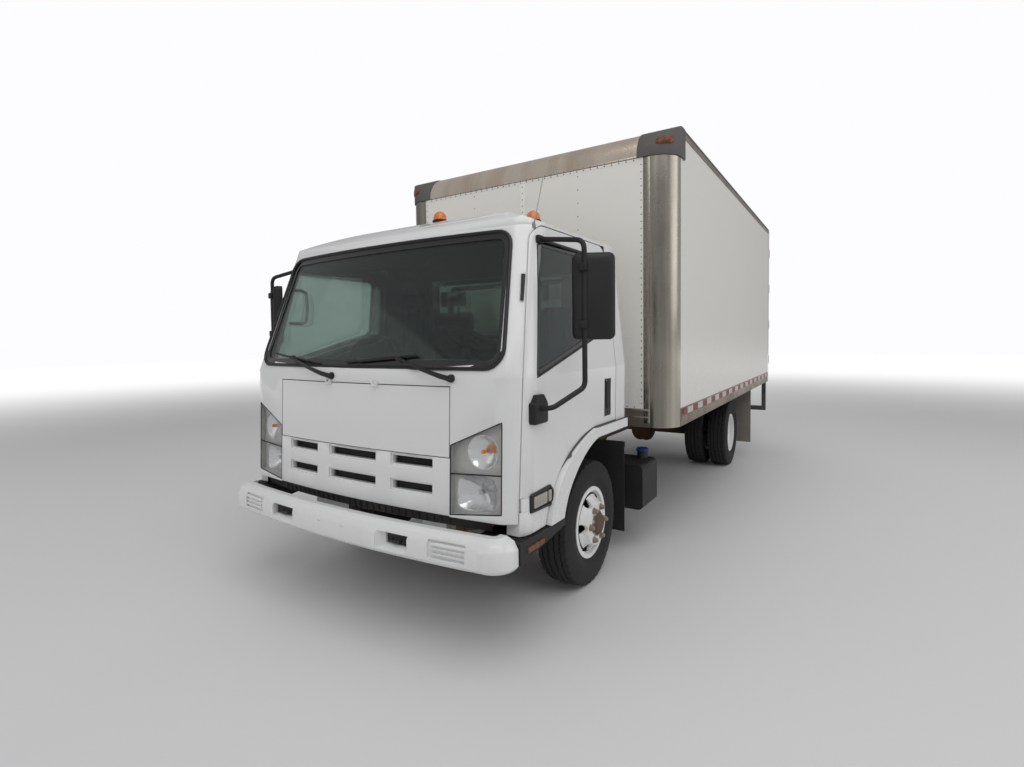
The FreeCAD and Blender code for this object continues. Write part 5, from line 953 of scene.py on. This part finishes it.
lamp_skin = Surface("headlamps")
lens = Form()
housing = Form()
rims = Form()
bulbs = Form()
caps = Form()
for way in (1, -1):
    front_edge = lamp_grid(lens, lamp_skin, way, lambda x, z: 0.0006, 20, 30)
    lamp_grid(housing, lamp_skin, way, lamp_floor, 72, 96)
    walls = [front_edge[k] + Vector((0, 0.002, 0)) for k in range(len(front_edge))]
    housing.rings([walls, [point + Vector((0, 0.032, 0)) for point in walls]])
    rims.tube([point + Vector((0, 0.001, 0)) for point in front_edge + front_edge[:1]], 0.0032, steps=6, ends=False)
    split = [lamp_skin.hit((x * way, cab_fore, 0.874 + (x - lamp_in) * 0.05), (0, 1, 0))
             for x in evenly(lamp_in, lamp_out, 14)]
    rims.tube([point + Vector((0, 0.003, 0)) for point in split], 0.004, steps=6)
    seat = lamp_skin.hit((turn_bowl[0] * way, cab_fore, turn_bowl[1]), (0, 1, 0))
    bulbs.lathe([(-0.030, 0), (-0.028, 0.006), (-0.020, 0.0105), (-0.008, 0.0105), (0.004, 0.008)],
                seat + Vector((0, 0.052, 0)), steps=20, axis=1)
    seat = lamp_skin.hit((main_bowl[0] * way, cab_fore, main_bowl[1]), (0, 1, 0))
    caps.lathe([(-0.036, 0), (-0.034, 0.012), (-0.012, 0.013), (-0.010, 0.006), (0.004, 0.006)],
               seat + Vector((0, 0.080, 0)), steps=24, axis=1)
lens.finish("headlamp_lenses", "cab", lamp_lens, "lamp", replaces=("headlamps",))
housing.finish("headlamp_bowls", "cab", lamp_silver, "lamp", sharp=50)
rims.finish("headlamp_rims", "cab", seal_rubber, "rubber", sharp=70)
bulbs.finish("turn_bulbs", "cab", bulb_amber, "amber")
caps.finish("main_bulb_caps", "cab", lamp_silver, "lamp")


# Mirrors: moulded black heads on bent steel poles, held by a moulded foot on the door and
# by an arm to the door's top corner, with a flat glass and a small convex one.

dress(black_mould, "mirror_left", "mirror_right")
mirror_glass = Finish("mirror_silver", base_color=(0.82, 0.84, 0.85), metallic=1.0, roughness=0.02)
mirror_glass.drive("Roughness", mirror_glass.noise(6, 3).ramp(0.4, 0.8, 0.01, 0.08))
head_angle = math.radians(28)
head_along = Vector((math.cos(head_angle), math.sin(head_angle), 0))
head_back = Vector((-math.sin(head_angle), math.cos(head_angle), 0))
head_corner = Vector((1.159, axle - 0.746, 1.508))
head_width, head_height = 0.200, 0.412


def rounded_path(points, radius, steps=6):
    """A path in space with each inner corner rounded."""
    points = [Vector(point) for point in points]
    path = [points[0]]
    for index in range(1, len(points) - 1):
        here = points[index]
        before = (points[index - 1] - here).normalized()
        after = (points[index + 1] - here).normalized()
        half = before.angle(after) / 2
        reach = radius / math.tan(half)
        for step in range(steps + 1):
            share = step / steps
            first, last = here + before * reach, here + after * reach
            path.append(first.lerp(here, share).lerp(here.lerp(last, share), share))
    return path + [points[-1]]


def head_ring(depth, outline):
    """An outline in the plane of the mirror head, at a depth behind its front."""
    start = head_corner + head_back * depth
    return [start + head_along * p.x + Vector((0, 0, p.y)) for p in outline]


for side, way in (("left", 1), ("right", -1)):
    poles = Form()
    flip = Matrix.Scale(way, 4, (1, 0, 0))
    pole = [(1.035, axle - 0.878, 1.190), (1.110, axle - 0.865, 1.195), (1.205, axle - 0.716, 1.285),
            (1.205, axle - 0.716, 1.976), (0.957, axle - 0.690, 2.011)]
    poles.tube(rounded_path(pole, 0.05), 0.0125, steps=14)
    poles.block((1.008, axle - 0.929, 1.117), (1.058, axle - 0.802, 1.222), soft=0.014, steps=4)
    foot = ((1.010, -0.921), (1.055, -0.921), (1.055, -0.810), (1.010, -0.810))
    neck = ((1.014, -0.898), (1.049, -0.898), (1.049, -0.834), (1.014, -0.834))
    poles.rings([[(x, axle + y, 1.215) for x, y in foot], [(x, axle + y, 1.254) for x, y in neck]], caps=True)
    poles.block((0.944, axle - 0.715, 1.990), (0.968, axle - 0.665, 2.030), soft=0.006)
    for level in (1.560, 1.830):
        poles.block((1.186, axle - 0.742, level), (1.222, axle - 0.690, level + 0.040), soft=0.005)
    poles.turned(flip)
    poles.finish(f"mirror_frame_{side}", f"cab_door_{side}", black_mould, "black_plastic",
                 replaces=(f"mirror_{side}",))
    head = Form()
    rings = [(0.058, 0.010), (0.066, 0.006), (0.066, 0.0), (0.030, 0.0), (0.014, 0.005), (0.006, 0.016),
             (0.001, 0.034)]
    head.rings([head_ring(depth, round_box((inset, inset), (head_width - inset, head_height - inset), 0.03))
                for depth, inset in rings], caps=True)
    head.turned(flip)
    head.finish(f"mirror_head_{side}", f"cab_door_{side}", black_mould, "black_plastic", sharp=60)
    glass = Form()
    flat = [(0.013, 0.128, 0.022), (0.187, 0.128, 0.022), (0.187, 0.399, 0.03), (0.013, 0.399, 0.03)]
    convex = [(0.013, 0.013, 0.03), (0.187, 0.013, 0.03), (0.187, 0.118, 0.022), (0.013, 0.118, 0.022)]
    for shape in (flat, convex):
        glass.rings([head_ring(depth, round_outline(shape)) for depth in (0.0585, 0.0625)], caps=True)
    glass.turned(flip)
    glass.finish(f"mirror_glass_{side}", f"cab_door_{side}", mirror_glass, "glass")


# Doors: a moulded pull handle in its black cup, and above the step a turn lamp in a black
# bezel that is screwed over the door's recess, with a white blank beside it.

side_silver = Finish("side_lamp_silver", base_color=(0.45, 0.44, 0.40), metallic=0.4, roughness=0.25,
                     coat_weight=0.8)
flutes = (side_silver.place(1) * 420).math("SINE").ramp(-1, 1, 0.35, 0.75)
side_silver.drive("Base Color", side_silver.mix(flutes, (0.20, 0.19, 0.17), (0.52, 0.50, 0.46)))
side_silver.bump(flutes, 0.0006)
cup_black = Finish("cup_black", base_color=(0.012, 0.012, 0.013), roughness=0.4)
cup_black.bump(cup_black.noise(160, 3), 0.0003)
flat_front, flat_rear, flat_level = axle - 0.965, axle - 0.720, 0.810


def on_door(skin, way, points, lift):
    """An outline on the door's outer skin, which is read just above the lamp's recess."""
    spots = []
    for p in points:
        above = skin.hit((cab_beside * way, max(min(p.x, flat_rear), flat_front), flat_level), (-way, 0, 0))
        spots.append(Vector((above.x + lift * way, p.x, p.y)))
    return spots


for side, way in (("left", 1), ("right", -1)):
    skin = Surface(f"door_{side}")
    cup = Form()
    edge = round_box((axle - 0.0385, 1.0495), (axle + 0.0585, 1.2705), 0.026)
    depth = skin.hit((cab_beside * way, axle - 0.036, 1.055), (-way, 0, 0)).x
    rim = 0.0095 * way
    rows = [[Vector((depth + rim * share, p.x, p.y)) for p in moved_in(edge, inset)]
            for share, inset in ((1.0, 0.0), (1.18, 0.002), (1.18, 0.005), (0.25, 0.009), (0.25, 0.03))]
    cup.rings(rows, caps=True)
    cup.finish(f"door_handle_cup_{side}", f"cab_door_{side}", cup_black, "black_plastic", sharp=45)
    grip = Form()
    bar = round_box((axle - 0.016, 1.088), (axle + 0.036, 1.266), 0.018)
    rows = [[Vector((depth + rim * share, p.x, p.y)) for p in moved_in(bar, inset)]
            for share, inset in ((0.3, 0.0), (1.35, 0.001), (1.62, 0.004), (1.72, 0.010))]
    grip.rings(rows, caps=True)
    grip.lathe([(0.012, 0.0), (0.012, 0.0085), (0.0105, 0.0105), (0, 0.0105)], (depth, axle + 0.01, 1.069), way, 24)
    grip.finish(f"door_handle_{side}", f"cab_door_{side}", black_mould, "black_plastic", sharp=50)
    bezel = Form()
    outer = round_outline([(axle - 0.929, 0.7035, 0.010), (axle - 0.716, 0.695, 0.010),
                           (axle - 0.708, 0.768, 0.014), (axle - 0.737, 0.799, 0.014),
                           (axle - 0.929, 0.7925, 0.012)])
    rows = [on_door(skin, way, moved_in(outer, inset), lift)
            for inset, lift in ((0.0, -0.006), (0.0, 0.007), (0.004, 0.010), (0.012, 0.010), (0.014, 0.002))]
    bezel.rings(rows, caps=True)
    bezel.finish(f"side_lamp_bezel_{side}", f"cab_door_{side}", cup_black, "black_plastic", sharp=50)
    blank = Form()
    plug = round_box((axle - 0.975, 0.7165), (axle - 0.930, 0.7795), 0.003)
    blank.rings([on_door(skin, way, plug, -0.006), on_door(skin, way, plug, 0.0002)], caps=True)
    blank.finish(f"side_lamp_blank_{side}", f"cab_door_{side}", cab_white, "white_paint", sharp=50)
    clear = Form()
    for first, last in ((-0.905, -0.778), (-0.764, -0.732)):
        inner = round_box((axle + first, 0.720), (axle + last, 0.776), 0.006)
        rows = [on_door(skin, way, moved_in(inner, inset), lift)
                for inset, lift in ((0.0, 0.000), (0.0, 0.0085), (0.003, 0.0100))]
        clear.rings(rows, caps=True)
    clear.finish(f"side_lamp_lens_{side}", f"cab_door_{side}", side_silver, "lamp", sharp=50)


# Steps: black moulded treads bolted on under the doors, with raised grip bars on top and
# an amber reflector on the outer side.

dress(black_mould, "steps", soft_edge=0)
step_skin = Surface("steps")
grips = Form()
reflectors = Form()
for way in (1, -1):
    for row in range(9):
        y = axle - 1.0 + 0.04 * row
        inner = step_skin.hit((0.90 * way, y, 0.66), (0, 0, -1))
        outer = step_skin.hit((1.01 * way, y, 0.66), (0, 0, -1))
        if inner and outer and abs(inner.z - outer.z) < 0.002 and inner.z < 0.6:
            low, high = sorted((0.90 * way, 1.02 * way))
            grips.block((low, y - 0.008, inner.z - 0.001), (high, y + 0.008, inner.z + 0.004), soft=0.0015)
    side = step_skin.hit((1.2 * way, axle - 0.9, 0.540), (-way, 0, 0))
    shape = round_box((axle - 0.985, 0.536), (axle - 0.825, 0.562), 0.006)
    rows = [[Vector((side.x + lift * way, p.x, p.y)) for p in moved_in(shape, inset)]
            for lift, inset in ((-0.001, 0), (0.004, 0), (0.0058, 0.002), (0.0058, 0.006))]
    reflectors.rings(rows, caps=True)
grips.finish("step_grips", "cab", black_mould, "black_plastic")
amber = Finish("amber_lens", base_color=(0.80, 0.20, 0.012), roughness=0.15, coat_weight=0.6)
prisms = (amber.place(1) * 900).math("SINE") * (amber.place(2) * 900).math("SINE")
amber.drive("Base Color", amber.mix(prisms.ramp(-0.6, 0.6), (0.55, 0.11, 0.008), (0.92, 0.27, 0.02)))
amber.bump(prisms, 0.0004)
# Painted shade: the step reflectors and the marker lamps are coloured dark brown-red, far darker than their amber,
# as the shade over them.
shaded_amber = Finish("dark_amber_lens", base_color=(0.15, 0.040, 0.010), roughness=0.4, coat_weight=0.1)
grime = shaded_amber.noise(45, 3).ramp(0.35, 0.65)
shaded_amber.drive("Base Color", shaded_amber.mix(grime, (0.09, 0.022, 0.006), (0.22, 0.060, 0.012)))
reflectors.finish("step_reflectors", "cab", shaded_amber, "amber", sharp=50)


# Roof lamps and aerial: three amber domes on black bases, and a steel whip beside the left
# door, clipped in a black holder on the pillar.

roof_skin = Surface("cab_roof")
domes = Form()
bases = Form()
for x, y in ((-0.645, -0.20), (0, -0.29), (0.645, -0.20)):
    seat = roof_skin.hit((x, axle + y, 2.6), (0, 0, -1))
    bases.lathe([(-0.006, 0), (-0.006, 0.050), (0.010, 0.050), (0.014, 0.044), (0.014, 0)], seat, steps=32, axis=2)
    domes.lathe([(0.012, 0.044), (0.034, 0.043), (0.050, 0.037), (0.061, 0.026), (0.068, 0.012), (0.070, 0)], seat,
                steps=32, axis=2)
domes.finish("roof_lamp_domes", "cab", amber, "amber", replaces=("roof_lamps",))
bases.finish("roof_lamp_bases", "cab", black_mould, "black_plastic")
pillar = Surface("cab_front", "cab_roof")
holder = Form()
clip = [pillar.hit((0.946 - (z - 1.70) * 0.12, cab_fore, z), (0, 1, 0))
        for z in (1.70, 1.735, 1.77, 1.80, 1.83)]
holder.strap([point + Vector((-0.001, 0.002, 0)) for point in clip], (0.45, -0.89, 0), (0.016, 0.020), 0.014)
holder.finish("aerial_holder", "cab", black_mould, "black_plastic")
whip = Form()
whip.tube([(0.925, axle - 0.700, 2.06), (0.93, axle - 0.695, 2.10), (0.93, axle - 0.595, 2.358)], 0.0024, steps=8)
whip.lathe([(0, 0.011), (0.02, 0.009), (0.03, 0.005), (0.034, 0)], (0.927, axle - 0.698, 2.066), steps=16, axis=2)
whip_steel = metal("whip_steel", (0.30, 0.30, 0.30), 0.3, 8, 2)
whip.finish("aerial_whip", "cab", whip_steel, "aluminium")


# Dry-freight body: white riveted panels between bright aluminium posts and rails, with
# grey cast corner caps. The steel door frame and doors are painted white, and the straps,
# lock rods and hinges that stand on them are galvanised.

body_front, body_rear = -1.469, 3.408
panel_white = gloss_white("panel_white", (0.84, 0.82, 0.77), film=0.25, low=0.9, high=2.2, waviness=0.0010,
                          coat=0.25, haze=0.30, peel=0)
dress(panel_white, "body_front_wall", "body_side_walls", "body_roof")
door_paint = (0.80, 0.785, 0.745)
door_white = gloss_white("door_white", door_paint, film=0.3, low=0.9, high=2.2, waviness=0.0006)
proud = door_white.place(1).ramp(body_rear + 0.0015, body_rear + 0.0025)
spangle = door_white.noise(55, 3, rough=0.6).ramp(0.35, 0.65)
galvanised = door_white.mix(spangle, (0.26, 0.26, 0.255), (0.40, 0.40, 0.39))
door_white.drive("Base Color", door_white.mix(proud, door_paint, galvanised))
door_white.drive("Metallic", proud * 0.75)
door_white.drive("Roughness", proud * 0.18 + 0.27)
door_white.drive("Coat Weight", (1 - proud) * 0.6)
dress(door_white, "cargo_door_left", "cargo_door_right", "rear_frame")
bright_metal = metal("bright_aluminium", (0.50, 0.46, 0.41), 0.2, 2, 2)
# Painted reflections: dark vertical streaks on the posts stand in for the dark surroundings that bright aluminium
# would reflect.
reflection_streak = bright_metal.noise(7, 3, stretch=(1, 1, 0.03))
post_tone_with_reflections = bright_metal.mix(reflection_streak.ramp(0.36, 0.62), (0.24, 0.22, 0.19), (0.50, 0.46, 0.40))
drawn = bright_metal.noise(5, 4, stretch=(1, 0.15, 0.15))
header_tone = bright_metal.mix(drawn.ramp(0.3, 0.7), (0.68, 0.56, 0.45), (0.84, 0.74, 0.62))
bright_metal.drive("Base Color", bright_metal.mix(bright_metal.place(2).ramp(2.786, 2.79), post_tone_with_reflections, header_tone))
dress(bright_metal, "front_posts", soft_edge=0)
rail_metal = metal("rail_aluminium", (0.36, 0.31, 0.26), 0.4, 2, 1)
dress(rail_metal, "body_rails")
cap_metal = dusty("cap_casting", (0.095, 0.090, 0.085), dust=(0.17, 0.16, 0.15), roughness=0.55, amount=0.5,
                  low=2.7, high=3.1)
dress(cap_metal, "corner_caps", soft_edge=0.004)
plank = dusty("floor_members", (0.16, 0.13, 0.10), dust=(0.24, 0.22, 0.20), roughness=0.8)
dress(plank, "body_floor")
# The marker lamps take the darkened amber: painted shade on their lenses.
dress(shaded_amber, "marker_lamps", soft_edge=0.001)


# Front wall trim: the posts' flanges and the header's lip lap over the wall, and rows of
# domed rivets hold the wall to them, to its middle seam and to the hidden stiffeners.

rivet_metal = metal("rivet_aluminium", (0.20, 0.185, 0.17), 0.42, 20, 0)
wall_low = 1.0
flanges = Form()
for way in (1, -1):
    low, high = sorted((1.003 * way, 1.050 * way))
    flanges.block((low, body_front - 0.0022, wall_low - 0.10), (high, body_front + 0.004, 2.788), soft=0.0008)
for half, under, low, high in ((0.957, 0.0030, 2.789, 2.801), (1.049, 0.0026, 0.938, 0.946),
                               (1.049, 0.0026, 0.990, 1.001)):
    flanges.block((-half, body_front - under, low), (half, body_front + 0.004, high), soft=0.0008)
flanges.finish("front_flanges", "chassis", bright_metal, "bright_aluminium")
lip = Form()
lip.block((-0.957, body_front - 0.0014, 2.766), (0.957, body_front + 0.004, 2.7885), soft=0.0006)
lip.block((-0.006, body_front - 0.0012, wall_low + 0.002), (0.034, body_front + 0.004, 2.766), soft=0.0006)
lip.finish("front_wall_laps", "chassis", panel_white, "white_panel")
sealant = Form()
sealant.tube([(-0.957, body_front - 0.0018, 2.7885), (0.957, body_front - 0.0018, 2.7885)], 0.0022, steps=6)
sealant.finish("header_sealant", "chassis", seal_rubber, "rubber")
wall_rivets = Form()
for x, pitch in ((-1.017, 0.05), (-0.988, 0.05), (-0.46, 0.10), (0.015, 0.05), (0.50, 0.10), (0.988, 0.05),
                 (1.017, 0.05)):
    under = 0.0022 if abs(x) > 1 else 0.0012 if x == 0.015 else 0
    for k in range(int((2.75 - 1.04) / pitch) + 1):
        wall_rivets.rivet((x, body_front - under, 1.04 + pitch * k), 1, -1, 0.0048)
for k in range(35):
    x = -0.935 + 0.055 * k
    wall_rivets.rivet((x, body_front - 0.0014, 2.776), 1, -1, 0.0055, 0.002)
    wall_rivets.rivet((x, body_front - 0.0030, 2.795), 1, -1, 0.0040)
    wall_rivets.rivet((x, body_front, 1.012), 1, -1, 0.0048)
wall_rivets.finish("front_wall_rivets", "chassis", rivet_metal, "aluminium", sharp=60)


# Side wall trim: rows of flush rivets over the posts inside the wall, ridges along the
# bottom rail, a black edge on the top rail, and red and white reflecting tape.

wall_out, ridge_out, rail_out, rail_end = 1.219, 1.2225, 1.223, 3.306
side_rivets = Form()
ridges = Form()
top_edge = Form()
for way in (1, -1):
    for row in range(12):
        y = body_front + 0.215 + 0.406 * row
        for k in range(18):
            side_rivets.rivet((wall_out * way, y, 1.06 + 0.106 * k), 0, way, 0.0042, 0.0011)
    for k in range(46):
        side_rivets.rivet((rail_out * way, body_front + 0.23 + 0.1 * k, 0.925), 0, way, 0.0042, 0.0012)
    for level in (0.880, 0.938):
        ridges.tube([(ridge_out * way, body_front + 0.171, level), (ridge_out * way, rail_end + 0.001, level)],
                    0.0022, steps=8)
    low, high = sorted((ridge_out * way, 1.2245 * way))
    top_edge.block((low, -1.205, 2.984), (high, rail_end, 3.0035), soft=0.0006)
side_rivets.finish("side_rivets", "chassis", panel_white, "white_panel", sharp=60)
ridges.finish("rail_ridges", "chassis", rail_metal, "aluminium")
top_edge.finish("top_rail_edge", "chassis", cap_metal, "grey_plastic")


def reflecting(name, colour):
    finish = Finish(name, base_color=colour, roughness=0.45, coat_weight=0.1)
    cells = (finish.place(1) * 700).math("SINE") * (finish.place(2) * 700).math("SINE")
    faded = tuple(c * 0.78 for c in colour)
    finish.drive("Base Color", finish.mix(cells.ramp(-0.7, 0.7) * finish.noise(9, 4).ramp(0.3, 0.6), colour, faded))
    finish.bump(cells, 0.0002)
    return finish


tape_red = reflecting("tape_red", (0.26, 0.014, 0.016))
tape_white = reflecting("tape_white", (0.62, 0.61, 0.58))
red_run, white_run, tape_low, tape_high = 0.155, 0.165, 0.942, 0.990
reds = Form()
whites = Form()
for way in (1, -1):
    low, high = sorted(((rail_out - 0.0004) * way, (rail_out + 0.0006) * way))
    start = axle + 0.947
    while start < rail_end:
        middle = min(start + red_run, rail_end)
        end = min(middle + white_run, rail_end)
        reds.block((low, start, tape_low), (high, middle, tape_high))
        if end > middle:
            whites.block((low, middle, tape_low), (high, end, tape_high))
        start = end
guard_skin = Surface("underride_guard")
bar = guard_skin.hit((0.1, 3.9, 0.48), (0, -1, 0))
for k in range(7):
    x = -1.10 + (red_run + white_run) * k
    for form, first, last in ((reds, x, x + red_run), (whites, x + red_run, min(x + red_run + white_run, 1.12))):
        form.block((first, bar.y - 0.0004, bar.z - 0.024), (last, bar.y + 0.0006, bar.z + 0.024))
reds.finish("tape_reds", "chassis", tape_red, "red_lens")
whites.finish("tape_whites", "chassis", tape_white, "white_panel")


# Roof: an aluminium sheet over bows, painted as the walls are, with a lap joint and a row
# of rivets at each bow.

roof_laps = Form()
for k in range(8):
    y = -1.0 + 0.6 * k
    roof_laps.block((-1.17, y, 2.9995), (1.17, y + 0.03, 3.0015), soft=0.0006)
    for j in range(24):
        roof_laps.rivet((-1.15 + 0.1 * j, y + 0.015, 3.0015), 2, 1, 0.0045, 0.0014)
roof_laps.finish("roof_laps", "chassis", panel_white, "white_panel", sharp=60)


# Tail lamps: red plastic lenses, ribbed on the inside, pressed into rubber rings in the
# rear frame.

red_lens = Finish("red_lens", base_color=(0.42, 0.008, 0.008), roughness=0.15, coat_weight=0.6)
ribs = (red_lens.place(0) * 800).math("SINE") * (red_lens.place(2) * 800).math("SINE")
red_lens.drive("Base Color", red_lens.mix(ribs.ramp(-0.6, 0.6), (0.26, 0.004, 0.004), (0.55, 0.014, 0.012)))
red_lens.bump(ribs, 0.0004)
dress(red_lens, "tail_lamps", soft_edge=0.001)


# Treatment tank: a blue screw cap with ribs for the hand on the filler neck, and the three
# rubber hoses that run to the tank from the frame.

blue_cap = Finish("blue_cap", base_color=(0.01, 0.035, 0.20), roughness=0.4)
blue_cap.bump(blue_cap.noise(120, 2), 0.0004)
tank_skin = Surface("urea_tank")
top = tank_skin.hit((0.952, axle + 0.880, 1.2), (0, 0, -1))
filler = Form()
filler.lathe([(0.001, 0), (0.001, 0.041), (0.010, 0.043), (0.026, 0.041), (0.030, 0.036), (0.030, 0)], top, 1, 32,
             axis=2)
for k in range(12):
    angle = math.tau * k / 12
    spot = top + Vector((0.0425 * math.cos(angle), 0.0425 * math.sin(angle), 0.004))
    filler.tube([spot, spot + Vector((0, 0, 0.02))], 0.003, steps=6)
filler.finish("treatment_cap", "chassis", blue_cap, "black_plastic")
hoses = Form()
for k, (radius, drop) in enumerate(((0.012, 0.0), (0.009, 0.03), (0.009, 0.055))):
    hoses.tube(rounded_path([(0.430, axle + 0.560, 0.760 - drop), (0.560, axle + 0.575, 0.750 - drop),
                             (0.700, axle + 0.580, 0.690 - drop), (0.760, axle + 0.600 + 0.02 * k, 0.640 - drop),
                             (0.770, axle + 0.640, 0.560 - drop)], 0.04), radius, steps=10)
hoses.finish("treatment_hoses", "chassis", seal_rubber, "rubber")
